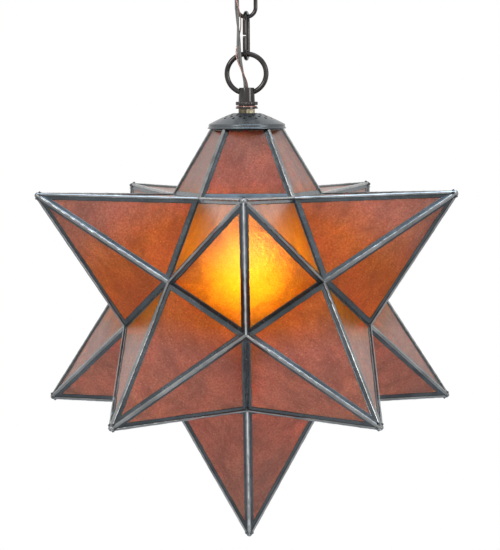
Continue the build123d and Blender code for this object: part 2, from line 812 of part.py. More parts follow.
# The upper ends rise through the ceiling nipple and turn down into their wire connectors
connector_places = ((-11, 21), (11, 21), (0, -21))
connector_mouth = -14.0
connector_mouth_radius = 5.2
connector_low = -29.0
connector_low_radius = 3.6
lead_top = -6.0
lead_bend_radius = 4.0
lead_in_connector = 6.0
with BuildPart() as wire_connectors:
    for place in connector_places:
        with BuildSketch(Plane.XY.offset(connector_low)):
            with Locations(place):
                Circle(connector_low_radius)
        with BuildSketch(Plane.XY.offset(connector_mouth)):
            with Locations(place):
                Circle(connector_mouth_radius)
        loft()
        with BuildSketch(Plane.XY.offset(connector_mouth)):
            with Locations(place):
                Circle(lead_radius + fit_gap)
        extrude(amount=-lead_in_connector, mode=Mode.SUBTRACT)
keep(wire_connectors, "wire_connectors")

cord_end = cord_point(cord_route[-1])
ground_end = ground_wire_point(cord_route[-1])
lead_starts = (
    (cord_end.X - lead_offset, cord_end.Y, lead_radius),
    (cord_end.X + lead_offset, cord_end.Y, lead_radius),
    (ground_end.X, ground_end.Y, ground_wire_radius),
)
with BuildPart() as supply_leads:
    for (x, y), (start_x, start_y, radius) in zip(connector_places, lead_starts):
        with BuildLine():
            FilletPolyline(
                (start_x, start_y, cord_end.Z),
                (start_x, start_y, lead_top),
                (x, y, lead_top),
                (x, y, connector_mouth - lead_in_connector),
                radius=lead_bend_radius,
            )
        with BuildSketch(Plane.XY.offset(cord_end.Z)):
            with Locations((start_x, start_y)):
                Circle(radius)
        sweep()
keep(supply_leads, "supply_leads")

print(f"tip radius {tip_radius:.2f}, star centre at z {star_z:.2f}")
for label, rise in (
    ("lamp pin", low_link_pin_rise),
    ("low link pin", mid_link_pin_rise),
    ("high link pin", top_ring_pin_rise),
):
    print(f"{label} at z {star_z + rise:.3f}")
print("hinge point", hinge_axis_point, "axis", (hinge_end - hinge_start).normalized())
print("latch point", latch_foot, "axis", latch_out)
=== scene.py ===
# %% [markdown]
# # A Moravian star pendant
#
# A star lantern: twelve five-sided points of amber mica in dark came, lit by one bulb, hung from a
# vented cap, a cast ring, two chain links and a canopy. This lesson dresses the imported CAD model.
# The model is the frame: each new piece lies where its CAD node lies, and rides on the same body.

# %% Load the frame
import math

import bpy
import numpy as np
from mathutils import Matrix, Vector


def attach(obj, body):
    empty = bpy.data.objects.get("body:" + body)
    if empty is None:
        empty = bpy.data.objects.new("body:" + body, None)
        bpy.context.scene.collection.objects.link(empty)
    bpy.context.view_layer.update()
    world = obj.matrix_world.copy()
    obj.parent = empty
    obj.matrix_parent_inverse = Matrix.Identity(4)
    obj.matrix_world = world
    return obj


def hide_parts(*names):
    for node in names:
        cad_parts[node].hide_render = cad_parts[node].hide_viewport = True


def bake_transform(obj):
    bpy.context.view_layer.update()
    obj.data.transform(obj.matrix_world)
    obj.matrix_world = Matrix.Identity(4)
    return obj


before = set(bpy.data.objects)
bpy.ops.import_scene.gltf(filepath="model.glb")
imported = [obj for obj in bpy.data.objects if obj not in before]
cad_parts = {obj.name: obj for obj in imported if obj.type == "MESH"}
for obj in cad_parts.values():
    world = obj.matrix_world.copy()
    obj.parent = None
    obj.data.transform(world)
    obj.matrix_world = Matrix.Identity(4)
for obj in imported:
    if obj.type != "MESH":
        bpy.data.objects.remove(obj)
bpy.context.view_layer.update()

# %% [markdown]
# ## The camera
#
# The photograph was taken from a little above the star's middle, with a long lens. A fit to the
# star's tips and corners gave these angles and the distance. The camera's three axes are worked out
# as the rows of a turn, and the camera is then moved back along its own line of sight.

# %% Camera
mm = 0.001
star_z = -402.4 * mm
star_centre = np.array([0.0, 0.0, star_z])
tip_radius = 406.4 * mm / (4 / math.sqrt(5) * math.sin(math.radians(72)))

looks_down = math.radians(4.38)
leans = math.radians(-0.345)
turned = math.radians(-0.863)
focal_pixels = 2388
picture_pixels = 550  # the long side

tilt = np.array(Matrix.Rotation(looks_down, 3, "X"))
lean = np.array(Matrix.Rotation(leans, 3, "Y"))
spin = np.array(Matrix.Rotation(turned, 3, "Z"))
right, ahead, up = tilt @ lean @ spin
in_view = tip_radius * np.array([-0.00865, 9.93, -0.0959])  # the star's centre: right, ahead and up
place = star_centre - np.array([right, ahead, up]).T @ in_view

camera_data = bpy.data.cameras.new("camera")
camera_data.sensor_width = 36
camera_data.lens = camera_data.sensor_width * focal_pixels / picture_pixels
camera_data.clip_end = 50
camera = bpy.data.objects.new("camera", camera_data)
axes = Matrix((right, up, -ahead)).transposed().to_4x4()
camera.matrix_world = Matrix.Translation(Vector(place)) @ axes
bpy.context.scene.collection.objects.link(camera)
bpy.context.scene.camera = camera
print("camera at", place.round(3), "lens", round(camera_data.lens, 1))

# %% [markdown]
# ## Surfaces as arrays
#
# Every new piece is a grid of points worked out with numpy: rows along a path, columns round it.
# These helpers join a grid's points into faces, close its ends, and make sure that the faces point
# outwards, by the sign of the volume that they enclose.


# %% Helpers for grids of points
def grid_quads(rows, columns, wrap_rows=False):
    """Quads of a grid whose rows are closed rings: each joins a point, the next one in its row, and
    the two in the next row. wrap_rows joins the last row to the first."""
    count = rows if wrap_rows else rows - 1
    i, j = np.meshgrid(np.arange(count), np.arange(columns), indexing="ij")
    k, n = (j + 1) % columns, (i + 1) % rows
    corners = [i * columns + j, i * columns + k, n * columns + k, n * columns + j]
    return np.stack(corners, -1).reshape(-1, 4)


def shell(grid, wrap_rows=False):
    """A closed surface from a grid of points, rows x columns x 3. Its ends are flat caps unless the
    rows wrap. The signed volume, a sixth of the sum of a . (b x c) over its triangles, must be
    positive, or every face is turned round."""
    rows, columns = grid.shape[:2]
    points = grid.reshape(-1, 3)
    quads = grid_quads(rows, columns, wrap_rows)
    faces = quads.tolist()
    if not wrap_rows:
        faces.append(list(range(columns))[::-1])
        faces.append(list(range((rows - 1) * columns, rows * columns)))
    local = points - points.mean(axis=0)
    a, b, c, d = (local[quads[:, n]] for n in range(4))
    volume = (a * np.cross(b, c)).sum() + (a * np.cross(c, d)).sum()
    if not wrap_rows:
        for ring in (grid[0][::-1], grid[-1]):
            ring = ring - points.mean(axis=0)
            volume += (ring[0] * np.cross(ring[1:-1], ring[2:])).sum()
    if volume < 0:
        faces = [face[::-1] for face in faces]
    return points, faces


def add_piece(name, shells, body, material, replaced=(), uv=None, sharp=40):
    """One object from several shells. Edges sharper than the angle stay crisp; the rest is smooth.
    A piece given no body is left without one."""
    points, faces, first = [], [], 0
    for shell_points, shell_faces in shells:
        points.append(shell_points)
        faces += [[first + n for n in face] for face in shell_faces]
        first += len(shell_points)
    mesh = bpy.data.meshes.new(name)
    mesh.from_pydata(np.concatenate(points).tolist(), [], faces)
    if uv is not None:
        layer = mesh.uv_layers.new(name="pane")
        corner = np.empty(len(mesh.loops), dtype=np.int32)
        mesh.loops.foreach_get("vertex_index", corner)
        layer.data.foreach_set("uv", uv[corner].ravel())
    mesh.polygons.foreach_set("use_smooth", np.ones(len(mesh.polygons), dtype=bool))
    mesh.set_sharp_from_angle(angle=math.radians(sharp))
    mesh.materials.append(material)
    mesh.validate()
    piece = bpy.data.objects.new(name, mesh)
    bpy.context.scene.collection.objects.link(piece)
    if body:
        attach(piece, body)
    if replaced:
        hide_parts(*replaced)
    return piece


def unit(vectors):
    """Vectors of length one."""
    return vectors / np.linalg.norm(vectors, axis=-1, keepdims=True)


def carried(line, sections, side=(1, 0, 0)):
    """A profile carried along a path. At each point the first direction is the side made square to
    the path, the second is path x first, and a profile point (x, y) lands x along the first and y
    along the second."""
    line = np.asarray(line, dtype=float)
    along = unit(np.gradient(line, axis=0))
    first = np.broadcast_to(np.asarray(side, dtype=float), line.shape)
    first = unit(first - (first * along).sum(-1, keepdims=True) * along)
    second = np.cross(along, first)
    sections = np.broadcast_to(sections, (len(line), *np.shape(sections)[-2:]))
    return line[:, None] + sections[..., :1] * first[:, None] + sections[..., 1:] * second[:, None]


def circle(radius, count):
    """The profile of a round wire: radius times cosine and sine."""
    turn = np.arange(count) * 2 * np.pi / count
    return radius * np.stack([np.cos(turn), np.sin(turn)], -1)


def lathe(profile, count=96):
    """A profile of (radius, height) rows turned about the vertical axis: x = r cos, y = r sin. The
    profile is a closed loop, so the grid wraps both ways."""
    profile = np.asarray(profile, dtype=float)
    turn = np.arange(count) * 2 * np.pi / count
    x = profile[None, :, 0] * np.cos(turn)[:, None]
    y = profile[None, :, 0] * np.sin(turn)[:, None]
    z = np.broadcast_to(profile[None, :, 1], x.shape)
    return shell(np.stack([x, y, z], -1), wrap_rows=True)


def ripple(places, seed, wavelengths=(6, 11, 19, 33)):
    """Unevenness along a length, from -1 to 1: a mean of sine waves with seeded phases."""
    phases = np.random.default_rng(seed).uniform(0, 2 * np.pi, len(wavelengths))
    waves = [np.sin(2 * np.pi * places / (w * mm) + p) for w, p in zip(wavelengths, phases)]
    return np.mean(waves, axis=0)


print("grid helpers ready")

# %% [markdown]
# ## Patterns for the finishes
#
# Old metal and mica are never one colour. Three node groups hold the patterns that several finishes
# use: soft clouds, small flecks, and an aged metal built from both. A group only puts out masks,
# colours and heights; the shader itself stays in each material.


# %% Node helpers
def new_group(name, inputs, outputs):
    """An empty shader node group with named sockets; returns it with its two end nodes."""
    group = bpy.data.node_groups.new(name, "ShaderNodeTree")
    for label, kind, value in inputs:
        socket = group.interface.new_socket(label, in_out="INPUT", socket_type="NodeSocket" + kind)
        if value is not None:
            socket.default_value = value
    for label, kind in outputs:
        group.interface.new_socket(label, in_out="OUTPUT", socket_type="NodeSocket" + kind)
    return group, group.nodes.new("NodeGroupInput"), group.nodes.new("NodeGroupOutput")


def feed(tree, node, **links):
    """A node's inputs: a value is set, a socket is linked. An input is named by its label, with
    underscores for spaces, or by i and its number."""
    for label, value in links.items():
        numbered = label[0] == "i" and label[1:].isdigit()
        socket = node.inputs[int(label[1:])] if numbered else node.inputs[label.replace("_", " ")]
        if isinstance(value, bpy.types.NodeSocket):
            tree.links.new(value, socket)
        else:
            socket.default_value = value
    return node


def put(tree, kind, settings=None, **links):
    """A node with its settings and its inputs."""
    node = tree.nodes.new("ShaderNode" + kind)
    for key, value in (settings or {}).items():
        setattr(node, key, value)
    return feed(tree, node, **links)


def use(tree, group, **links):
    """A node group placed in a tree, with its inputs set or linked."""
    node = tree.nodes.new("ShaderNodeGroup")
    node.node_tree = group
    return feed(tree, node, **links)


def mix_colors(tree, mask, low, high):
    """The colour between two colours that a mask picks; returns its socket."""
    node = put(tree, "Mix", {"data_type": "RGBA"}, i0=mask, i6=low, i7=high)
    return node.outputs[2]


def math_of(tree, operation, first, second, clamp=False):
    """One sum of two numbers, if wished clamped from 0 to 1; returns its socket."""
    settings = {"operation": operation, "use_clamp": clamp}
    return put(tree, "Math", settings, i0=first, i1=second).outputs[0]


def ramp(tree, value, **ends):
    """A value carried from one range to another, both 0 to 1 unless given; returns its socket."""
    return put(tree, "MapRange", None, Value=value, **ends).outputs["Result"]


def cloud_mask(tree, vector, scale, low, high):
    """The clouds pattern's mask: 0 where its noise is under the low level, 1 over the high one."""
    return use(tree, clouds, Vector=vector, Scale=scale, Low=low, High=high).outputs["Mask"]


def fleck_mask(tree, vector, scale, size):
    """The flecks pattern's mask: 1 inside small spots of up to this size."""
    return use(tree, flecks, Vector=vector, Scale=scale, Size=size).outputs["Mask"]


print("node helpers ready")

# %% Three shared patterns
clouds, start, end = new_group(
    "clouds",
    [
        ("Vector", "Vector", None), ("Scale", "Float", 20.0),
        ("Low", "Float", 0.35), ("High", "Float", 0.65),
    ],
    [("Mask", "Float")],
)
noise = put(
    clouds, "TexNoise", None, Vector=start.outputs["Vector"], Scale=start.outputs["Scale"],
    Detail=6.0, Roughness=0.62, Distortion=0.5,
)
low, high = start.outputs["Low"], start.outputs["High"]
feed(clouds, end, Mask=ramp(clouds, noise.outputs["Fac"], From_Min=low, From_Max=high))

flecks, start, end = new_group(
    "flecks",
    [("Vector", "Vector", None), ("Scale", "Float", 300.0), ("Size", "Float", 0.12)],
    [("Mask", "Float")],
)
vector, scale, size = (start.outputs[label] for label in ("Vector", "Scale", "Size"))
cells = put(flecks, "TexVoronoi", {"feature": "F1"}, Vector=vector, Scale=scale)
chosen = put(flecks, "SeparateColor", None, Color=cells.outputs["Color"]).outputs["Red"]
size = math_of(flecks, "MULTIPLY", chosen, size)
feed(flecks, end, Mask=math_of(flecks, "LESS_THAN", cells.outputs["Distance"], size))

aged_metal, start, end = new_group(
    "aged metal",
    [
        ("Vector", "Vector", None), ("Dark", "Color", (0.1, 0.1, 0.1, 1)),
        ("Light", "Color", (0.3, 0.3, 0.3, 1)), ("Bright", "Color", (0.5, 0.5, 0.5, 1)),
        ("Scale", "Float", 60.0), ("Gloss", "Float", 0.3), ("Dull", "Float", 0.5), ("Grain", "Float", 0.3),
    ],
    [("Color", "Color"), ("Roughness", "Float"), ("Height", "Float")],
)
vector, scale, share = (start.outputs[label] for label in ("Vector", "Scale", "Grain"))
large = cloud_mask(aged_metal, vector, scale, 0.35, 0.68)
fine = cloud_mask(aged_metal, vector, math_of(aged_metal, "MULTIPLY", scale, 9.0), 0.4, 0.75)
specks = fleck_mask(aged_metal, vector, math_of(aged_metal, "MULTIPLY", scale, 14.0), 0.22)
faint = math_of(aged_metal, "MULTIPLY", fine, share, clamp=True)
speck = math_of(aged_metal, "MULTIPLY", specks, share, clamp=True)
tone = mix_colors(aged_metal, large, start.outputs["Dark"], start.outputs["Light"])
tone = mix_colors(aged_metal, faint, tone, start.outputs["Bright"])
tone = mix_colors(aged_metal, speck, tone, start.outputs["Dark"])
rough = ramp(aged_metal, fine, To_Min=start.outputs["Gloss"], To_Max=start.outputs["Dull"])
height = math_of(aged_metal, "ADD", large, faint)
feed(aged_metal, end, Color=tone, Roughness=rough, Height=height)
print("patterns:", [group.name for group in bpy.data.node_groups])


# %% [markdown]
# ## The metals
#
# The came and the cap are blackened with a slate-coloured patina that turns blue-grey where light
# catches it, and the beads of solder on the came are paler and smoother. The ring, links and collar
# are dark bronze, the nut is dull brass, and the wire is bare copper. All of them are the same aged
# metal with their own tones, gloss and grain, so one function makes them. A near-black painted shade,
# for the cap's underside and the walls of its vents, is made with it too, but isn't metallic.


# %% Metal finishes
def finish_of(name):
    """A new material with its tree, shader and object coordinates."""
    material = bpy.data.materials.new(name)
    material.use_nodes = True
    tree = material.node_tree
    shader = tree.nodes["Principled BSDF"]
    coordinates = put(tree, "TexCoord").outputs["Object"]
    return material, tree, shader, coordinates


def metal(
    name, dark, light, bright, scale=60.0, gloss=0.3, dull=0.5, metallic=1.0, grain=0.3, relief=0.15
):
    """A metal finish from the aged metal pattern: clouds from dark to light, bright and dark grain
    over them, and a roughness from gloss to dull."""
    material, tree, shader, coordinates = finish_of(name)
    aged = use(
        tree, aged_metal, Vector=coordinates, Dark=(*dark, 1), Light=(*light, 1), Bright=(*bright, 1),
        Scale=scale, Gloss=gloss, Dull=dull, Grain=grain,
    )
    bump = put(tree, "Bump", None, Strength=relief, Distance=0.0002, Height=aged.outputs["Height"])
    feed(
        tree, shader, Base_Color=aged.outputs["Color"], Roughness=aged.outputs["Roughness"],
        Normal=bump.outputs["Normal"], Metallic=metallic,
    )
    return material


patinated_came = metal(
    "patinated came", (0.045, 0.052, 0.055), (0.095, 0.108, 0.118), (0.2, 0.21, 0.22),
    scale=22, gloss=0.2, dull=0.32, metallic=0.9, grain=0.06, relief=0.03,
)
solder = metal(
    "solder", (0.16, 0.165, 0.165), (0.31, 0.315, 0.315), (0.5, 0.5, 0.5),
    scale=28, gloss=0.12, dull=0.24, grain=0.08, relief=0.05,
)
slate_cap = metal(
    "slate cap", (0.075, 0.082, 0.086), (0.105, 0.114, 0.12), (0.16, 0.17, 0.175),
    scale=30, gloss=0.25, dull=0.34, metallic=0.6, grain=0.05, relief=0.02,
)
dark_bronze = metal(
    "dark bronze", (0.028, 0.026, 0.025), (0.072, 0.067, 0.064), (0.14, 0.13, 0.125),
    scale=40, gloss=0.12, dull=0.2, metallic=0.9, grain=0.03, relief=0.01,
)
bare_brass = metal(
    "bare brass", (0.03, 0.026, 0.018), (0.16, 0.135, 0.085), (0.75, 0.68, 0.5),
    scale=160, gloss=0.1, dull=0.25, grain=0.15,
)
copper = metal(
    "copper", (0.28, 0.14, 0.11), (0.52, 0.3, 0.25), (0.85, 0.6, 0.52),
    scale=120, gloss=0.2, dull=0.35, grain=0.15,
)
zinced_steel = metal(
    "zinced steel", (0.35, 0.35, 0.34), (0.6, 0.6, 0.58), (0.75, 0.75, 0.73),
    scale=70, gloss=0.25, dull=0.5,
)
aluminium = metal(
    "socket aluminium", (0.5, 0.5, 0.49), (0.75, 0.75, 0.74), (0.85, 0.85, 0.84),
    scale=60, gloss=0.2, dull=0.4,
)
ground_green = metal(
    "green screw", (0.01, 0.09, 0.03), (0.03, 0.22, 0.08), (0.1, 0.4, 0.2), scale=90, metallic=0.6
)
# Near-black painted shade: it stands for the shade under the cap and inside its vents.
painted_shade_black = metal(
    "painted_shade_black", (0.004, 0.004, 0.004), (0.01, 0.01, 0.01), (0.02, 0.02, 0.02),
    gloss=0.8, dull=0.95, metallic=0.0,
)
print("metals ready")


# %% [markdown]
# ## Plastics, porcelain and the lit bulb
#
# The cord's insulation is a dull grey-brown, the wire connectors are moulded plastic and the
# socket's body is porcelain: not metal, so their tones are closer together. The bulb's globe is
# frosted and lit, and its light is what shows through the mica. It gives its light by emission, in
# its own material, and is dimmer towards its socket, as a real frosted bulb is.


# %% Other finishes
def dull_finish(name, dark, light, scale=60.0, gloss=0.4, dull=0.6, coat=0.0):
    """A finish that isn't metal: two close tones in soft clouds, and a fine grain in the bump."""
    material, tree, shader, coordinates = finish_of(name)
    patches = cloud_mask(tree, coordinates, scale, 0.35, 0.65)
    grain = cloud_mask(tree, coordinates, scale * 20, 0.3, 0.7)
    color = mix_colors(tree, patches, (*dark, 1), (*light, 1))
    rough = ramp(tree, patches, To_Min=gloss, To_Max=dull)
    bump = put(tree, "Bump", None, Strength=0.1, Distance=0.0001, Height=grain).outputs["Normal"]
    feed(tree, shader, Base_Color=color, Roughness=rough, Normal=bump, Coat_Weight=coat)
    return material


cord_plastic = dull_finish(
    "cord plastic", (0.13, 0.125, 0.12), (0.2, 0.195, 0.185), scale=90, gloss=0.3, dull=0.45
)
connector_plastic = dull_finish(
    "connector plastic", (0.5, 0.2, 0.03), (0.62, 0.28, 0.05), gloss=0.35, dull=0.5
)
porcelain = dull_finish(
    "porcelain", (0.78, 0.76, 0.7), (0.86, 0.85, 0.8), gloss=0.12, dull=0.25, coat=0.3
)

# %% Lit bulb
bulb_light = 240.0
dim_above, bright_below = star_z + 60.4 * mm, star_z + 20.4 * mm
frosted_glass, tree, shader, coordinates = finish_of("frosted glass")
frost = cloud_mask(tree, coordinates, 40.0, 0.2, 0.8)
glass = mix_colors(tree, frost, (0.9, 0.85, 0.75, 1), (1, 0.97, 0.9, 1))
warm = mix_colors(tree, frost, (1.0, 0.8, 0.04, 1), (1.0, 0.85, 0.05, 1))
rise = put(tree, "SeparateXYZ", None, Vector=coordinates).outputs["Z"]
low = ramp(tree, rise, From_Min=dim_above, From_Max=bright_below)
glow = mix_colors(tree, low, (0.22, 0.17, 0.012, 1), warm)
feed(tree, shader, Base_Color=glass, Roughness=0.5, Emission_Color=glow, Emission_Strength=bulb_light)
print("plastics, porcelain and bulb ready")

# %% [markdown]
# ## Mica
#
# Mica sheet is a mineral in thin leaves bound with shellac: amber and cloudy, with darker swirls,
# veins and grain and a few golden flecks. The pane's own flat map, in metres, carries the pattern,
# so that no two panes are alike. Masks of the two shared patterns, from broad clouds to fine grain,
# each lay a tint over the amber. Some light passes rough and shows the bulb as a soft spot, and the
# rest of the surface is a translucent body with a thin gloss.
#
# Near the bulb, the bulb's light is painted into the sheet. A belt round the bulb is found by the distance
# from the bulb's middle, with heights counted double, and there the amber loses its blue as painted light,
# the gloss fades and a faint emission paints a glow on the sheet.

# %% Mica finish
mica, tree, shader, coordinates = finish_of("mica")
pane_map = put(tree, "UVMap", {"uv_map": "pane"}).outputs["UV"]
drawn = put(tree, "Mapping", None, Vector=pane_map, Scale=(1.0, 1.6, 1.0)).outputs["Vector"]
broad = cloud_mask(tree, pane_map, 8.0, 0.38, 0.62)
swirls = cloud_mask(tree, drawn, 34.0, 0.38, 0.63)
wisps = cloud_mask(tree, drawn, 110.0, 0.42, 0.66)
veins = cloud_mask(tree, pane_map, 170.0, 0.5, 0.64)
grain = cloud_mask(tree, pane_map, 520.0, 0.4, 0.6)
gold = fleck_mask(tree, pane_map, 330.0, 0.2)
ash = fleck_mask(tree, drawn, 190.0, 0.2)
amber = mix_colors(tree, swirls, (0.26, 0.086, 0.052, 1), (0.52, 0.192, 0.108, 1))
for mask, share, tint in (
    (wisps, 0.4, (0.54, 0.27, 0.17, 1)),
    (broad, 0.45, (0.21, 0.074, 0.054, 1)),
    (veins, 0.3, (0.2, 0.06, 0.035, 1)),
    (grain, 0.65, (0.17, 0.055, 0.03, 1)),
    (gold, 0.45, (0.75, 0.48, 0.22, 1)),
    (ash, 0.5, (0.07, 0.025, 0.016, 1)),
):
    amber = mix_colors(tree, math_of(tree, "MULTIPLY", mask, share, clamp=True), amber, tint)
rough = ramp(tree, swirls, To_Min=0.31, To_Max=0.38)
flake = math_of(tree, "ADD", swirls, wisps)
bump = put(tree, "Bump", None, Strength=0.25, Distance=0.0004, Height=flake).outputs["Normal"]

# %% Mica near the bulb, with painted light and a painted glow
squash = 2.0
belt_ends, belt_full = 0.195, 0.15  # distances from the bulb's middle, in metres
bulb_middle = (0.0, 0.0, squash * (star_z + 25 * mm))
tinting = {"data_type": "RGBA", "blend_type": "MULTIPLY"}
squashed = put(tree, "VectorMath", {"operation": "MULTIPLY"}, i0=coordinates, i1=(1.0, 1.0, squash))
away = put(tree, "VectorMath", {"operation": "DISTANCE"}, i0=squashed.outputs["Vector"], i1=bulb_middle)
# The belt of painted light: 1 near the bulb, 0 beyond the belt's ends.
painted_light_belt = ramp(tree, away.outputs["Value"], From_Min=belt_ends, From_Max=belt_full)
# Painted light: the amber loses its blue in the belt, standing in for the bulb's light passing through.
painted_light_amber = put(tree, "Mix", tinting, i0=painted_light_belt, i6=amber, i7=(1.05, 1.0, 0.15, 1)).outputs[2]
shine = ramp(tree, painted_light_belt, To_Min=0.55, To_Max=0.12)
lit = math_of(tree, "POWER", painted_light_belt, 1.6)
# Painted glow: a faint emission in the belt, though the mica is no lamp.
glow = put(tree, "Mix", tinting, i0=1.0, i6=amber, i7=(1.0, 0.5, 0.05, 1)).outputs[2]
glow = mix_colors(tree, lit, (0, 0, 0, 1), glow)
feed(
    tree, shader, Base_Color=painted_light_amber, Roughness=rough, Normal=bump,
    Emission_Color=glow, Emission_Strength=0.1,
    Transmission_Weight=0.45, IOR=1.4, Specular_IOR_Level=0.0,
    Coat_Weight=shine, Coat_Roughness=0.22,
    Subsurface_Weight=0.6, Subsurface_Radius=(1.0, 0.45, 0.2), Subsurface_Scale=0.003,
)
print("mica ready")

# %% [markdown]
# ## The star's plan
#
# The core is a dodecahedron: four rings of five corners. Each point stands on one of its faces and
# has its tip on a ray from the star's centre. The proportions are the part's own: the core is a
# little smaller than in the exact star, so that each valley between two points is a crease.

# %% Corners and tips
golden = (1 + math.sqrt(5)) / 2
core_share = 0.952  # of the size at which neighbouring panes would lie in one plane
core_radius = tip_radius * core_share * math.sqrt(3) / (2 * golden * math.sin(math.radians(72)))
core_edge = core_radius * 2 / (math.sqrt(3) * golden)
core_in_radius = core_edge * golden**2 / (2 * math.sqrt(3 - golden))
small_ring = core_edge / (2 * math.sin(math.radians(36)))
wide_ring = small_ring * golden
wide_rise = math.sqrt(core_radius**2 - wide_ring**2)
seat_rise = 168.0 * mm  # where the cap's seat cuts the top point
top_ridges_meet = 226.0 * mm  # the top point is a little blunter than the others
rings = {
    "a": (small_ring, core_in_radius),
    "b": (wide_ring, wide_rise),
    "c": (wide_ring, -wide_rise),
    "d": (small_ring, -core_in_radius),
}


def at(radius, azimuth, rise):
    """A place from its radius and azimuth about the vertical axis and its rise over the centre."""
    turn = math.radians(azimuth)
    return np.array([radius * math.sin(turn), -radius * math.cos(turn), star_z + rise])


def core_corners(*places):
    """Corners of the core as an array, each from its ring's letter and its azimuth."""
    return np.array([at(rings[ring][0], azimuth, rings[ring][1]) for ring, azimuth in places])


def way_to_seat(low, tip):
    """Share of the way from a low place to the tip at which the cap's seat cuts the top point."""
    return (star_z + seat_rise - low[2]) / (tip[2] - low[2])


fifths = (0, 72, 144, -144, -72)
plan = {
    "top": (at(0, 0, top_ridges_meet), core_corners(*[("a", turn + 36) for turn in fifths])),
    "bottom": (at(0, 0, -tip_radius), core_corners(*[("d", turn) for turn in fifths])),
}
for word, turn in zip(("front", "right_front", "right_back", "left_back", "left_front"), fifths):
    base = [("a", turn - 36), ("a", turn + 36), ("b", turn + 36), ("c", turn), ("b", turn - 36)]
    tip = at(tip_radius * 2 / math.sqrt(5), turn, tip_radius / math.sqrt(5))
    plan[f"upper_{word}"] = (tip, core_corners(*base))
for word, turn in zip(("back", "left_back", "left_front", "right_front", "right_back"), fifths):
    turn = turn + 180
    base = [("c", turn - 36), ("b", turn), ("c", turn + 36), ("d", turn + 36), ("d", turn - 36)]
    tip = at(tip_radius * 2 / math.sqrt(5), turn, -tip_radius / math.sqrt(5))
    plan[f"lower_{word}"] = (tip, core_corners(*base))
hinged_point = "upper_right_back"  # the one that opens to change the bulb
body_of = {name: "bulb_door" if name == hinged_point else "lamp" for name in plan}
print(len(plan), "points, core edge", round(core_edge * 1000, 1), "mm")

# %% [markdown]
# ## The mica panes
#
# Each pane is a thin slab cut to its opening, with its edge hidden in the came. A real sheet isn't
# quite flat, and that is what makes its reflections wander, so two slow waves lift the middle by
# a fraction of a millimetre. The slab is a grid between its four corners; a pointed pane has its
# last two corners almost together, under the solder of the tip.


# %% Pane surfaces
pane_margin, cut_margin = 1.5 * mm, 0.6 * mm  # how far a pane's edge stays inside its opening
tip_share = 0.012  # how far short of the tip a pointed pane ends


def inset_corners(outline, margins):
    """A flat outline's corners after each side moves inwards by its own margin. Two neighbouring
    sides with unit directions e and f and margins m and n meet again at p + (m f - n e) / (e x f)."""
    ahead_edge = unit(np.roll(outline, -1, axis=0) - outline)
    behind_edge = np.roll(ahead_edge, 1, axis=0)
    ahead_margin = np.array(margins)[:, None]
    behind_margin = np.roll(ahead_margin, 1, axis=0)
    cross = behind_edge[:, 0] * ahead_edge[:, 1] - behind_edge[:, 1] * ahead_edge[:, 0]
    return outline + (behind_margin * ahead_edge - ahead_margin * behind_edge) / cross[:, None]


def pane_frame(start, end, tip):
    """A pane's origin and its three directions: along its base, up towards the tip, and outwards."""
    out = unit(np.cross(end - start, tip - start))
    if (out * ((start + end) / 2 - star_centre)).sum() < 0:
        start, end, out = end, start, -out
    along = unit(end - start)
    return start, end, along, np.cross(out, along), out


def pane_slab(start, end, tip, cut, seed, rows=26, columns=18):
    """A pane's slab as a shell, with its map. Its outer face is the bilinear mix of four corners,
    lifted by 0.8 (0.12 sin(2 pi (x/47 + y/61)) + 0.08 sin(2 pi (x/29 - y/37))), in millimetres;
    its inner face lies 1 mm below, and each row of the grid goes out on one and back on the other.
    The map is the pane's own flat plan, turned and shifted by seeded draws."""
    start, end, along, upward, out = pane_frame(start, end, tip)
    flat = np.array([[(p - start) @ along, (p - start) @ upward] for p in (start, end, tip)])
    if cut:
        share = way_to_seat(start, tip)
        outline = np.array([flat[0], flat[1], flat[1] + (flat[2] - flat[1]) * share, flat[2] * share])
        corners = inset_corners(outline, [pane_margin, pane_margin, cut_margin, pane_margin])
    else:
        a, b, t = inset_corners(flat, [pane_margin] * 3)
        corners = np.array([a, b, t + (b - t) * tip_share, t + (a - t) * tip_share])
    v, u = np.meshgrid(np.linspace(0, 1, rows), np.linspace(0, 1, columns), indexing="ij")
    u, v = u[..., None], v[..., None]
    a, b, c, d = corners
    spot = (a * (1 - u) + b * u) * (1 - v) + (d * (1 - u) + c * u) * v
    slow, fast, turn, *shift = np.random.default_rng(seed).uniform(0, 1, 5)
    x, y = spot[..., :1] / mm, spot[..., 1:] / mm
    wave = 0.12 * np.sin(2 * np.pi * (x / 47 + y / 61 + slow))
    wave = wave + 0.08 * np.sin(2 * np.pi * (x / 29 - y / 37 + fast))
    outer = start + spot[..., :1] * along + spot[..., 1:] * upward + out * wave * mm * 0.8
    inner = outer - out * mm
    grid = np.concatenate([outer, inner[:, ::-1]], axis=1)
    turn = turn * 2 * np.pi
    spin = np.array([[math.cos(turn), -math.sin(turn)], [math.sin(turn), math.cos(turn)]])
    mapped = spot @ spin + np.array(shift) * 3
    return shell(grid), np.concatenate([mapped, mapped[:, ::-1]], axis=1).reshape(-1, 2)


# %% Sixty panes
for number, (name, (tip, base)) in enumerate(plan.items()):
    made = [
        pane_slab(base[i], base[(i + 1) % 5], tip, name == "top", seed=100 + 5 * number + i)
        for i in range(5)
    ]
    slabs, maps = zip(*made)
    add_piece(
        f"panes_{name}", slabs, body_of[name], mica, [f"mica_{name}"], uv=np.concatenate(maps)
    )
print("panes of", len(plan), "points")

# %% [markdown]
# ## The came
#
# The panes are held in came: a dark metal strip lies on each side of every ridge, with a bead of
# solder run along it by hand, and flat strips with a fillet of solder follow the valleys. One
# cross-section is carried along each line. The bead is a tube of its own, flattened a little, so
# that it can have the brighter solder, and slow waves change its size and place, as a hand does.
# Round drops of solder close the tips and the corners.
#
# The hinged point has a narrow gap all round. The came beside it has a lip behind the gap for the
# point to rest on, which also keeps the bulb from being seen through it.


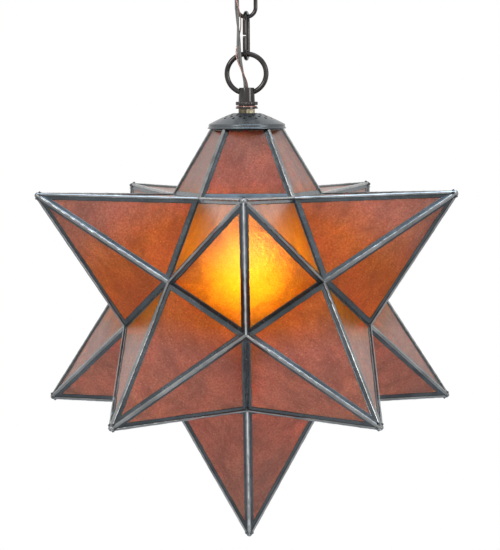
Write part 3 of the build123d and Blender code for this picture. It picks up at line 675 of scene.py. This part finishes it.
# %% Sections of the came
came_width = 5.0  # millimetres on each side of a ridge or valley
bead_radius = 1.55
tip_drop, tip_sink = 3.0 * mm, 2.5 * mm  # radius of a solder drop, and how deep it sits
corner_drop, corner_sink = 2.4 * mm, 0.4 * mm
door_gap, seam_gap = 0.4 * mm, 0.03 * mm  # from a valley to the came: hinged point, other points
lip_outline = np.array([(0, -1.9), (-1.4, -1.9), (-1.4, -2.4), (1.0, -2.4)]) * mm


def sections_along(outline, count):
    """A section for each of count places, in metres. The outline's points are (across, out) pairs
    in millimetres, and each of their numbers is one value or an array with a value per place."""
    points = [np.stack([np.broadcast_to(value, count) for value in pair], -1) for pair in outline]
    return np.stack(points, 1) * mm


def ridge_came(low, high, left_out, right_out, left, right, seed):
    """Came along a ridge, and its bead. The came's section starts inside, goes out over the left
    pane's strip and back over the right one. The bead is an oval, radius times 0.85 cos a outwards
    and 1.25 sin a across, carried along the ridge."""
    length = np.linalg.norm(high - low)
    count = max(int(length / (2.2 * mm)), 8)
    places = np.linspace(0, length, count)
    line = low + (high - low) * (places / length)[:, None]
    half = np.arccos(np.clip((left * right).sum(), -1, 1)) / 2
    fold = 1.5 / math.tan(half) + 0.05
    width = came_width + 0.15 * ripple(places, seed)
    lift = 0.05 * ripple(places, seed + 1)
    strip = sections_along([
        (fold, -1.5), (width - 0.35, -1.5), (width, -1.15), (width, 0.2), (width - 0.2, 0.42),
        (width - 0.7, 0.5), (3.4, 0.52 + lift), (2.3, 0.55 + lift), (1.75, 0.68 + lift),
    ], count)
    sides = []
    for direction, outward in ((left, left_out), (right, right_out)):
        sides.append(line[:, None] + strip[..., :1] * direction + strip[..., 1:] * outward)
    crest = unit(left_out + right_out)
    level = unit(right - left)
    fold_line = (line + crest * 0.8 * mm)[:, None]
    radius = (bead_radius + 0.2 * ripple(places, seed + 2)) * mm
    sway = 0.15 * mm * ripple(places, seed + 3)
    middle = line + crest * 0.4 * mm + level * sway[:, None]
    turn = np.arange(14) * 2 * np.pi / 14
    bead = crest * 0.85 * np.cos(turn)[:, None] + level * 1.25 * np.sin(turn)[:, None]
    bead = middle[:, None] + radius[:, None, None] * bead
    return shell(np.concatenate([sides[0], fold_line, sides[1][:, ::-1]], axis=1)), shell(bead)


def seam_came(low, high, inward, outward, spine, seed, gap=0.0, cover=came_width, lip=False):
    """Came along a valley or a pane's cut edge: a flat strip on the pane and half of the solder
    fillet, ending on the plane of the spine, which both neighbours share. With a lip, the foot of
    the section reaches 1.4 mm behind the neighbour."""
    length = np.linalg.norm(high - low)
    count = max(int(length / (2.6 * mm)), 8)
    places = np.linspace(0, length, count)
    line = low + (high - low) * (places / length)[:, None] + inward * gap
    width = cover + 0.03 * cover * ripple(places, seed)
    fill = 0.08 * ripple(places, seed + 1)
    strip = sections_along([
        (0.8, -1.5), (width - 0.3, -1.5), (width, -1.15), (width, 0.2), (width - 0.2, 0.4),
        (width - 0.5, 0.46), (width * 0.3, 0.5), (width * 0.16, 0.58 + fill),
    ], count)
    strip = line[:, None] + strip[..., :1] * inward + strip[..., 1:] * outward
    foot = (line - spine * 1.3 * mm)[:, None]
    if lip:
        level = unit(inward - (inward @ spine) * spine)
        foot = line[:, None] + lip_outline[:, :1] * level + lip_outline[:, 1:] * spine
    top = (line + spine * (0.8 * mm + fill[:, None] * mm))[:, None]
    return shell(np.concatenate([foot, strip, top], axis=1))


def drop(centre, radius, seed):
    """A drop of solder: a ball on a grid of rise b and turn a, whose radius is the given one times
    1 + 0.07 sin(2a) cos(b) + 0.05 sin(3b), with seeded phases."""
    rises, turns = np.radians(np.linspace(-86, 86, 12)), np.arange(18) * 2 * np.pi / 18
    rise, turn = np.meshgrid(rises, turns, indexing="ij")
    p = np.random.default_rng(seed).uniform(0, 2 * np.pi, 2)
    grow = radius * (1 + 0.07 * np.sin(2 * turn + p[0]) * np.cos(rise) + 0.05 * np.sin(3 * rise + p[1]))
    ball = np.stack([np.cos(rise) * np.cos(turn), np.cos(rise) * np.sin(turn), np.sin(rise)], -1)
    return shell(centre + grow[..., None] * ball)


print("sections ready, came", came_width, "mm wide on each side")

# %% Came, beads and drops of every point
for number, (name, (tip, base)) in enumerate(plan.items()):
    panes = [pane_frame(base[i], base[(i + 1) % 5], tip) for i in range(5)]
    shells, beads = [], []
    for i in range(5):
        seed = 1000 + 40 * number + 8 * i
        ridge = unit(tip - base[i])
        stop = tip - ridge * 1.2 * mm
        if name == "top":
            stop = base[i] + (tip - base[i]) * way_to_seat(base[i], tip)
        sides = []
        for neighbour in (base[i - 1], base[(i + 1) % 5]):
            away = neighbour - base[i]
            sides.append(unit(away - (away @ ridge) * ridge))
        came, bead = ridge_came(base[i], stop, panes[i - 1][-1], panes[i][-1], *sides, seed)
        shells.append(came)
        beads.append(bead)
        start, end, _, upward, out = panes[i]
        spine = unit((start + end) / 2 - star_centre)
        gap = door_gap if name == hinged_point else seam_gap
        apart = np.linalg.norm(plan[hinged_point][1][:, None] - np.array([start, end]), axis=-1)
        meets_door = name not in (hinged_point, "top") and (apart.min(axis=0) < 0.01 * mm).all()
        shells.append(seam_came(start, end, upward, out, spine, seed + 5, gap, lip=meets_door))
        if name == "top":
            cut = [p + (tip - p) * way_to_seat(p, tip) for p in (start, end)]
            shells.append(seam_came(*cut, -upward, out, out * 0.6, seed + 6, cover=1.6))
    if name != "top":
        back = unit(tip - star_centre)
        beads.append(drop(tip - back * tip_sink, tip_drop, 900 + number))
    body, slot = body_of[name], "patinated_came"
    add_piece(f"leading_{name}", shells, body, patinated_came, [f"came_{name}"], sharp=70)
    add_piece(f"beads_{name}", beads, body, solder, sharp=70)

every_corner = np.unique(np.concatenate([base for tip, base in plan.values()]).round(7), axis=0)
outwards = unit(every_corner - star_centre)
drops = [
    drop(corner - out * corner_sink, corner_drop, 700 + i)
    for i, (corner, out) in enumerate(zip(every_corner, outwards))
]
add_piece("corner_solder", drops, "lamp", solder, sharp=70)
print("came round", len(plan), "points,", len(every_corner), "corner drops")

# %% [markdown]
# ## The vented cap
#
# A spun cap covers the cut top of the star: a shallow dome with a turned-out rim and three rows of
# small vents, which let the bulb's warm air out. It is turned from one profile, and the vents are
# cut with a Boolean by three rings of small pins. The Boolean passes the pins' own finish on to the
# walls of the vents, a near-black painted shade, and the dome's underside gets the same painted shade.

# %% Spun cap
cap_top = star_z + 183.4 * mm


def arc(first, middle, last, count):
    """Points on the circle arc through three (radius, height) places. The centre is where the two
    bisectors meet."""
    (ax, ay), (bx, by), (cx, cy) = first, middle, last
    d = 2 * (ax * (by - cy) + bx * (cy - ay) + cx * (ay - by))
    a, b, c = ax * ax + ay * ay, bx * bx + by * by, cx * cx + cy * cy
    x = (a * (by - cy) + b * (cy - ay) + c * (ay - by)) / d
    y = (a * (cx - bx) + b * (ax - cx) + c * (bx - ax)) / d
    turns = [math.atan2(q - y, p - x) for p, q in (first, middle, last)]
    for i in (1, 2):
        while turns[i] > turns[i - 1] + math.pi:
            turns[i] -= 2 * math.pi
        while turns[i] < turns[i - 1] - math.pi:
            turns[i] += 2 * math.pi
    radius = math.hypot(ax - x, ay - y)
    turn = np.linspace(turns[0], turns[2], count)
    return np.stack([x + radius * np.cos(turn), y + radius * np.sin(turn)], -1)


crown = arc((12.5, 0), (14.2, -0.2), (15.6, -0.8), 7)
slope = arc((15.6, -0.8), (26.0, -5.1), (36.4, -10.2), 16)[1:]
shoulder = arc((36.4, -10.2), (37.45, -10.95), (37.9, -12.0), 7)[1:]
brim = [
    (37.75, -12.9), (37.8, -13.4), (38.2, -14.0), (38.75, -14.5), (38.8, -14.95), (38.5, -15.4),
    (37.1, -15.4),
]
under = [
    (36.8, -15.1), (36.8, -12.0), (35.9, -11.3), (26.0, -6.2), (15.3, -1.9), (12.7, -1.0),
    (4.95, -1.0), (4.95, 0),
]
cap_line = np.concatenate([crown, slope, shoulder, brim, under]) * mm + [0, cap_top]
cap = add_piece(
    "spun_cap", [lathe(cap_line, 160)], "lamp", slate_cap, ["vented_cap"], sharp=50
)
print("cap profile of", len(cap_line), "points")

# %% Vents
vents_in_row = 14
vent_radius = 1.55 * mm
first_vent = math.radians(8.9)
vent_rows = ((18.0, 0), (21.7, 0.5), (25.4, 0))  # radius, and stagger in shares of the spacing
skirt_inside = 36.7 * mm  # faces that look down within this radius are the dome's underside
pins = []
for radius, stagger in vent_rows:
    for n in range(vents_in_row):
        turn = first_vent + (n + stagger) * 2 * np.pi / vents_in_row
        foot = np.array([radius * mm * math.cos(turn), radius * mm * math.sin(turn), cap_top - 12 * mm])
        line = foot + np.linspace(0, 1, 2)[:, None] * np.array([0, 0, 14 * mm])
        pins.append(shell(carried(line, circle(vent_radius, 16))))
cutter = add_piece("vent_pins", pins, "lamp", painted_shade_black)
vents = cap.modifiers.new("vents", "BOOLEAN")
vents.operation, vents.object, vents.solver = "DIFFERENCE", cutter, "EXACT"
vents.material_mode = "TRANSFER"
pierced = bpy.data.meshes.new_from_object(cap.evaluated_get(bpy.context.evaluated_depsgraph_get()))
cap.modifiers.remove(vents)
pierced.set_sharp_from_angle(angle=math.radians(35))
middles, normals = np.empty((2, len(pierced.polygons), 3))
pierced.polygons.foreach_get("center", middles.ravel())
pierced.polygons.foreach_get("normal", normals.ravel())
finishes = np.zeros(len(pierced.polygons), dtype=np.int32)
pierced.polygons.foreach_get("material_index", finishes)
# Faces that look down inside the skirt take the second finish: near-black painted shade under the dome.
below = (normals[:, 2] < -0.2) & (np.hypot(middles[:, 0], middles[:, 1]) < skirt_inside)
finishes[below] = 1
pierced.polygons.foreach_set("material_index", finishes)
cap.data = pierced
bpy.data.objects.remove(cutter)
print("cap has", len(cap.data.polygons), "faces and", [m.name for m in cap.data.materials])

# %% [markdown]
# ## The ring on its neck
#
# The lamp hangs from a cast loop: a ring of round section on a hollow neck over a fluted collar.
# The same casting is used upside down under the canopy. The ring and neck are two shells that run
# into each other, and the collar's flutes are a small wave in its radius.


# %% Loops
def round_edge(profile, ease=0.35, count=4):
    """A closed (radius, height) outline with each corner eased: a corner is replaced by points on
    the parabola between the spots that lie the ease, in millimetres, before and after it."""
    profile = np.asarray(profile, dtype=float)
    before, after = np.roll(profile, 1, axis=0), np.roll(profile, -1, axis=0)
    size = np.minimum(np.linalg.norm(before - profile, axis=1), np.linalg.norm(after - profile, axis=1))
    size = np.minimum(ease * mm, size * 0.45)[:, None]
    first = profile + unit(before - profile) * size
    last = profile + unit(after - profile) * size
    t = np.linspace(0, 1, count)[None, :, None]
    bent = (1 - t) ** 2 * first[:, None] + 2 * t * (1 - t) * profile[:, None] + t**2 * last[:, None]
    return bent.reshape(-1, 2)


def cast_loop(foot, way, ring_across, spigot):
    """A loop's shells, standing on the height foot and pointing up or down by way. The neck is
    turned from its profile; the collar's outer radius is 11 (1 - 0.045 (0.5 + 0.5 cos 20a)^3); the
    ring is a circle of radius 19.3 with a wire of radius 2.5. All are in millimetres."""
    def outline(*rows):
        return [(radius * mm, foot + way * rise * mm) for radius, rise in rows]

    neck = outline(
        (5.0, -spigot), (8.2, -spigot), (8.2, 3.4), (7.5, 17.2), (3.5, 17.2), (3.5, 12), (5.0, 11.8)
    )
    shells = [lathe(round_edge(neck, 0.5), 96)]
    collar = round_edge(outline((8.0, 0), (11.0, 0), (11.0, 3.4), (8.0, 3.4)), 0.7)
    turn = np.arange(240) * 2 * np.pi / 240
    flute = 1 - 0.045 * (0.5 + 0.5 * np.cos(20 * turn)) ** 3
    radius = np.where(collar[:, 0] > 9 * mm, collar[:, 0] * flute[:, None], collar[:, 0])
    x, y = radius * np.cos(turn)[:, None], radius * np.sin(turn)[:, None]
    z = np.broadcast_to(collar[:, 1], radius.shape)
    shells.append(shell(np.stack([x, y, z], -1), wrap_rows=True))
    turn = np.arange(112) * 2 * np.pi / 112
    across = np.array(ring_across, dtype=float)
    outward = np.cos(turn)[:, None] * across + np.sin(turn)[:, None] * np.array([0, 0, 1.0])
    middle = np.array([0, 0, foot + way * 31.0 * mm])
    aside = np.cross(across, [0, 0, 1.0])
    wire = circle(ring_wire, 24)
    ring = middle + outward[:, None] * (ring_radius + wire[None, :, :1]) + aside * wire[None, :, 1:]
    shells.append(shell(ring, wrap_rows=True))
    return shells


# %% Two cast rings
ring_radius, ring_wire = 19.3 * mm, 2.5 * mm
collar_foot, canopy_floor = star_z + 191.2 * mm, -34 * mm
low_shells = cast_loop(collar_foot, 1, (1, 0, 0), 2.0)
high_shells = cast_loop(canopy_floor, -1, (0, 1, 0), 0)
add_piece("cast_ring_low", low_shells, "lamp", dark_bronze, ["lamp_loop"])
add_piece("cast_ring_high", high_shells, "ceiling", dark_bronze, ["canopy_loop"])
print("two rings of", ring_radius / mm, "mm radius")

# %% [markdown]
# ## The chain
#
# Fixture chain is bent from round wire into links with the ends butted in one leg. A link's line is
# a stadium: two straight legs and two half circles. The wire's ends are a little rounded.


# %% Chain links
def link_line(middle, across, count=140):
    """A stadium from one side of the butt joint to the other, by distance along it: legs of half
    length s at plus and minus a, joined by half circles of radius a."""
    a, s, gap = 9.25 * mm, 13.3 * mm, 0.45 * mm
    total = 4 * s + 2 * math.pi * a
    d = np.linspace(gap, total - gap, count)
    leg1, bend1, leg2, bend2 = s, s + math.pi * a, 3 * s + math.pi * a, 3 * s + 2 * math.pi * a
    turn1, turn2 = (d - leg1) / a, (d - leg2) / a
    parts = [d < leg1, d < bend1, d < leg2, d < bend2]
    x = np.select(parts, [a + 0 * d, a * np.cos(turn1), -a + 0 * d, -a * np.cos(turn2)], a)
    z_of_parts = [d, s + a * np.sin(turn1), s - (d - bend1), -s - a * np.sin(turn2)]
    z = np.select(parts, z_of_parts, -s + (d - bend2))
    return middle + x[:, None] * across + z[:, None] * np.array([0, 0, 1.0])


def run_of(line):
    """Distance from the start of a line to each of its points."""
    return np.concatenate([[0], np.cumsum(np.linalg.norm(np.diff(line, axis=0), axis=1))])


def chain_link(name, middle_z, across, node, body):
    """A link whose wire has the radius 2 - 0.45 exp(-(d/0.7)^2), where d is the distance to its
    nearer end, in millimetres."""
    line = link_line(np.array([0, 0, middle_z]), np.array(across, dtype=float))
    run = run_of(line)
    to_end = np.minimum(run, run[-1] - run)
    size = 2.0 - 0.45 * np.exp(-((to_end / (0.7 * mm)) ** 2))
    section = circle(mm, 20)[None] * size[:, None, None]
    side = np.cross(across, [0, 0, 1.0])
    return add_piece(name, [shell(carried(line, section, side))], body, dark_bronze, [node])


low_turn = math.radians(9)  # the lower link's turn away from square
low_across = -np.array([math.sin(low_turn), math.cos(low_turn), 0.0])
chain_link("link_of_lamp", star_z + 259.35 * mm, low_across, "chain_link_low", "link_low")
chain_link("link_of_canopy", star_z + 300.25 * mm, (1.0, 0, 0), "chain_link_high", "link_high")
print("two links")

# %% [markdown]
# ## The cord and the bare wire
#
# A limp two-core cord rises from the neck beside the chain into the canopy, and a bare copper wire
# winds loosely round it. Both are carried along NURBS curves through the same route as the solids,
# in three stretches, cut at the middles of the two links. The cord's section is
# two round cores that touch, and it turns slowly along the way.

# %% The cord's route
# Each row: the cord's place from the star's centre in millimetres, and for the bare wire its turn
# about the cord in degrees and its distance from the cord's middle.
route = np.array([
    (-1.0, 0.0, 205.0, -35, 3.0),
    (-1.0, 0.0, 212.5, -35, 3.0),
    (-3.8, -4.4, 223.5, -90, 3.3),
    (-6.2, -8.2, 234.5, -145, 3.5),
    (-7.3, -9.0, 244.5, -205, 3.5),
    (-7.5, -8.4, 254.0, -260, 3.4),
    (-7.8, -7.6, 265.4, -315, 3.4),
    (-8.4, -7.3, 275.5, -365, 3.4),
    (-8.8, -7.9, 285.5, -415, 3.4),
    (-9.0, -8.3, 295.0, -465, 3.4),
    (-9.1, -7.7, 305.5, -515, 3.4),
    (-8.9, -7.0, 317.0, -570, 3.5),
    (-6.9, -5.0, 328.5, -625, 3.5),
    (-2.8, -1.7, 339.0, -675, 3.4),
    (-0.9, 0.0, 347.0, -725, 3.0),
    (-0.9, 0.0, 354.5, -725, 3.0),
])
cord_points = route[:, :3] * mm + star_centre
wire_turn = np.radians(route[:, 3])
wire_side = np.stack([np.cos(wire_turn), np.sin(wire_turn), 0 * wire_turn], -1)
wire_points = cord_points + (route[:, 4] * mm)[:, None] * wire_side
print("route through", len(route), "places")


# %% Cord and ground wire
def stretches(points):
    """The route in three, cut at the middle of two runs."""
    low_cut, high_cut = (points[5] + points[6]) / 2, (points[9] + points[10]) / 2
    return (
        np.vstack([points[:6], low_cut]),
        np.vstack([low_cut, points[6:10], high_cut]),
        np.vstack([high_cut, points[10:]]),
    )


def smooth_line(points):
    """Points along the NURBS curve of order 3 that has these as its control points."""
    curve = bpy.data.curves.new("route", "CURVE")
    curve.dimensions = "3D"
    curve.resolution_u = 14
    spline = curve.splines.new("NURBS")
    spline.points.add(len(points) - 1)
    spline.points.foreach_set("co", np.c_[points, np.ones(len(points))].ravel())
    spline.order_u = 3
    spline.use_endpoint_u = True
    holder = bpy.data.objects.new("route", curve)
    mesh = bpy.data.meshes.new_from_object(holder)
    line = np.empty(len(mesh.vertices) * 3)
    mesh.vertices.foreach_get("co", line)
    bpy.data.objects.remove(holder)
    return line.reshape(-1, 3)


def twin_section(turns):
    """Two touching cores as one closed outline, turned by an angle at each place. The outline's
    radius at angle t is the far side of two circles of radius 1.12 at 1.06 to each side."""
    t = np.arange(28) * 2 * np.pi / 28
    c, s, r = 1.06 * np.abs(np.cos(t)), 1.06 * np.sin(t), 1.12
    reach = c + np.sqrt(np.maximum(r**2 - s**2, 0.16))
    outline = mm * np.stack([reach * np.cos(t), reach * np.sin(t)], -1)
    cos, sin = np.cos(turns)[:, None], np.sin(turns)[:, None]
    x, y = outline[:, 0], outline[:, 1]
    return np.stack([x * cos - y * sin, x * sin + y * cos], -1)


# %% Six stretches
# Each stretch: its word, the bodies below and above it, and the height at which the upper turns on
# the lower.
hangs = (
    ("low", "lamp", "link_low", -0.1656),
    ("mid", "link_low", "link_high", -0.1247),
    ("high", "link_high", "ceiling", -0.0843),
)
turn_length = 95 * mm  # the cord's length for one whole turn
phase = math.radians(25)
parts = zip(hangs, stretches(cord_points), stretches(wire_points))
for (word, below, above, pin_z), cord_part, wire_part in parts:
    for kind, control in (("cord", cord_part), ("ground_wire", wire_part)):
        line = smooth_line(control)
        run = run_of(line)
        if kind == "cord":
            sections = twin_section(phase + run / turn_length * 2 * np.pi)
            phase += run[-1] / turn_length * 2 * np.pi
            material, slot, width = cord_plastic, "cord_plastic", 4.36 * mm
        else:
            sections = circle(0.5 * mm, 10)
            material, slot, width = copper, "copper", 1.0 * mm
        grid = carried(line, sections)
        piece = add_piece(f"{kind}_run_{word}", [shell(grid)], None, material)
        x, y, z = line[np.abs(line[:, 2] - pin_z).argmin()]
        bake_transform(piece)
        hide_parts(f"{kind}_{word}")
        print(piece.name, "is", round(run[-1] * 1000, 1), "mm long")

# %% [markdown]
# ## The wire's end under the collar
#
# The copper wire comes down behind the neck and is wound once round the spigot between the washer
# and the collar, where it grounds the lamp. It is a helix with a slight tilt: at the turn a, its
# radius is 9.8 + 0.35 sin(0.9a) and its rise 1.4 (-0.15 + 0.16 sin a + 0.05a), in millimetres.

# %% Wound end of the wire
turn = np.linspace(-0.6 * np.pi, 1.75 * np.pi, 90)
wind_z = star_z + 190.0 * mm
wind_radius = (9.8 + 0.35 * np.sin(turn * 0.9)) * mm
climb = (-0.15 + 0.16 * np.sin(turn) + 0.05 * turn) * mm
wind = np.stack([wind_radius * np.cos(turn), wind_radius * np.sin(turn), wind_z + climb * 1.4], -1)
wound = shell(carried(wind, circle(0.62 * mm, 12), (0, 0, 1)))
add_piece("wound_wire", [wound], "lamp", copper, ["ground_wrap"])
print("wound wire is", round(run_of(wind)[-1] * 1000, 1), "mm long")

# %% [markdown]
# ## The canopy and the bulb
#
# The canopy is a spun bowl with a narrow flat round the loop. The bulb's frosted globe is turned
# from a profile too: a ball that runs into its neck with no corner between them.

# %% Canopy
bowl = arc((15 * mm, -34 * mm), (42.5 * mm, -26.4 * mm), (63.5 * mm, -4 * mm), 40)
rim = np.array([(63.5 * mm, -0.5 * mm), (63.3 * mm, 0), (62.7 * mm, 0), (62.5 * mm, -0.5 * mm)])
inside = arc((62.5 * mm, -4 * mm), (41.9 * mm, -25.5 * mm), (15 * mm, -33 * mm), 30)
hole = np.array([(5 * mm, -33 * mm), (5 * mm, -34 * mm)])
spun = lathe(np.concatenate([bowl, rim, inside, hole]), 160)
add_piece("spun_canopy", [spun], "ceiling", slate_cap, ["canopy"])
print("canopy is", 2 * rim[0, 0] / mm, "mm wide")

# %% Bulb's globe
globe_z, globe_radius = star_z + 28 * mm, 30 * mm
turn = np.linspace(-np.pi / 2, np.radians(46.7), 40)
ball = np.stack([globe_radius * np.cos(turn), globe_z + globe_radius * np.sin(turn)], -1)
ball[0, 0] = 0.05 * mm
flare = np.linspace(0, 1, 16)[1:, None]
shoulder, neck = ball[-1], np.array([12.0 * mm, star_z + 80 * mm])
bend = np.array([13.4 * mm, star_z + 56 * mm])
flank = (1 - flare) ** 2 * shoulder + 2 * flare * (1 - flare) * bend + flare**2 * neck
inner = np.array([(11.2 * mm, star_z + 80 * mm), (0.05 * mm, star_z + 79.5 * mm)])
globe = lathe(np.concatenate([ball, flank, inner]), 72)
add_piece("lit_globe", [globe], "bulb", frosted_glass, ["bulb_globe"])
print("globe is", 2 * globe_radius / mm, "mm wide")

# %% [markdown]
# ## Finishes for the CAD pieces that stay
#
# Nuts, nipples, the crossbar, the socket and the hinge have the right shape already, so each CAD
# node keeps its mesh and gets its metal, porcelain or plastic.

# %% Finishes on CAD nodes
glow_wire, tree, shader, coordinates = finish_of("glowing filament")
hot = cloud_mask(tree, coordinates, 200.0, 0.3, 0.7)
glow = mix_colors(tree, hot, (1.0, 0.45, 0.1, 1), (1.0, 0.7, 0.3, 1))
feed(tree, shader, Emission_Color=glow, Emission_Strength=3.0)
kept = {
    bare_brass: ("hex_nut", "socket_cap", "socket_shell"),
    zinced_steel: ("inner_lock_nut", "lamp_nipple", "crossbar", "ceiling_nipple", "ceiling_lock_nut"),
    dark_bronze: ("seat_washer",),
    patinated_came: ("hinge_leaf_star", "hinge_leaf_door", "hinge_pin", "latch_post", "latch_tab"),
    porcelain: ("socket_body",),
    aluminium: ("screw_shell", "bulb_base"),
    ground_green: ("ground_screw",),
    cord_plastic: ("socket_leads", "supply_leads"),
    connector_plastic: ("wire_connectors",),
    glow_wire: ("bulb_filament",),
}
for material, names in kept.items():
    for name in names:
        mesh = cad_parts[name].data
        mesh.materials.clear()
        mesh.materials.append(material)
print(sum(len(names) for names in kept.values()), "CAD nodes dressed")

# %% [markdown]
# ## Studio
#
# A plain white studio: soft light from all round and four soft lamps. The key is at the upper left
# front, a weaker fill at the right, a bluish one overhead puts the blue-grey sheen on the upper came
# and cap, and a faint one below stands for light from the floor. The background is white to the
# camera and in reflections, but lights the object at about half strength. The pale floor lies well
# below the hanging lamp.

# %% World
world = bpy.data.worlds.new("studio")
world.use_nodes = True
bpy.context.scene.world = world
tree = world.node_tree
tree.nodes.clear()
rays = put(tree, "LightPath")
seen = math_of(tree, "ADD", rays.outputs["Is Camera Ray"], rays.outputs["Is Glossy Ray"], clamp=True)
seen = math_of(tree, "ADD", seen, rays.outputs["Is Transmission Ray"], clamp=True)
white = put(tree, "Background", None, Color=(1, 1, 1, 1), Strength=1.0).outputs[0]
soft = put(tree, "Background", None, Color=(0.97, 0.98, 1.0, 1), Strength=0.55).outputs[0]
shown = put(tree, "MixShader", None, i0=seen, i1=soft, i2=white).outputs[0]
put(tree, "OutputWorld", None, Surface=shown)
print("world ready")

# %% Floor
floor_paint, tree, shader, coordinates = finish_of("pale floor")
patches = cloud_mask(tree, coordinates, 0.6, 0.2, 0.8)
paint = mix_colors(tree, patches, (0.86, 0.86, 0.86, 1), (0.9, 0.9, 0.9, 1))
feed(tree, shader, Base_Color=paint, Roughness=0.8)
floor_mesh = bpy.data.meshes.new("floor")
reach, floor_z = 4.0, -1.6
corners = [(x * reach, y * reach, floor_z) for x, y in ((-1, -1), (1, -1), (1, 1), (-1, 1))]
floor_mesh.from_pydata(corners, [], [(0, 1, 2, 3)])
floor_mesh.materials.append(floor_paint)
floor = bpy.data.objects.new("floor", floor_mesh)
bpy.context.scene.collection.objects.link(floor)
print("floor at", floor_z, "m")


# %% Four lamps
def lamp(name, place, size, power, color=(1, 1, 1)):
    """A square soft lamp that looks at the star's centre."""
    data = bpy.data.lights.new(name, "AREA")
    data.size, data.energy, data.color = size, power, color
    thing = bpy.data.objects.new(name, data)
    look = Vector(star_centre) - Vector(place)
    thing.matrix_world = Matrix.Translation(place) @ look.to_track_quat("-Z", "Y").to_matrix().to_4x4()
    thing.visible_camera = False
    bpy.context.scene.collection.objects.link(thing)


lamp("key", (-1.5, -2.2, 1.1), 1.0, 34)
lamp("fill", (2.0, -1.6, 0.1), 1.0, 14)
lamp("overhead", (0.2, -0.3, 1.6), 1.4, 30, (0.62, 0.8, 1.0))
lamp("bounce", (0.0, -0.6, -1.5), 0.7, 3)
print("four lamps placed")
bpy.context.scene.view_settings.view_transform = "Standard"
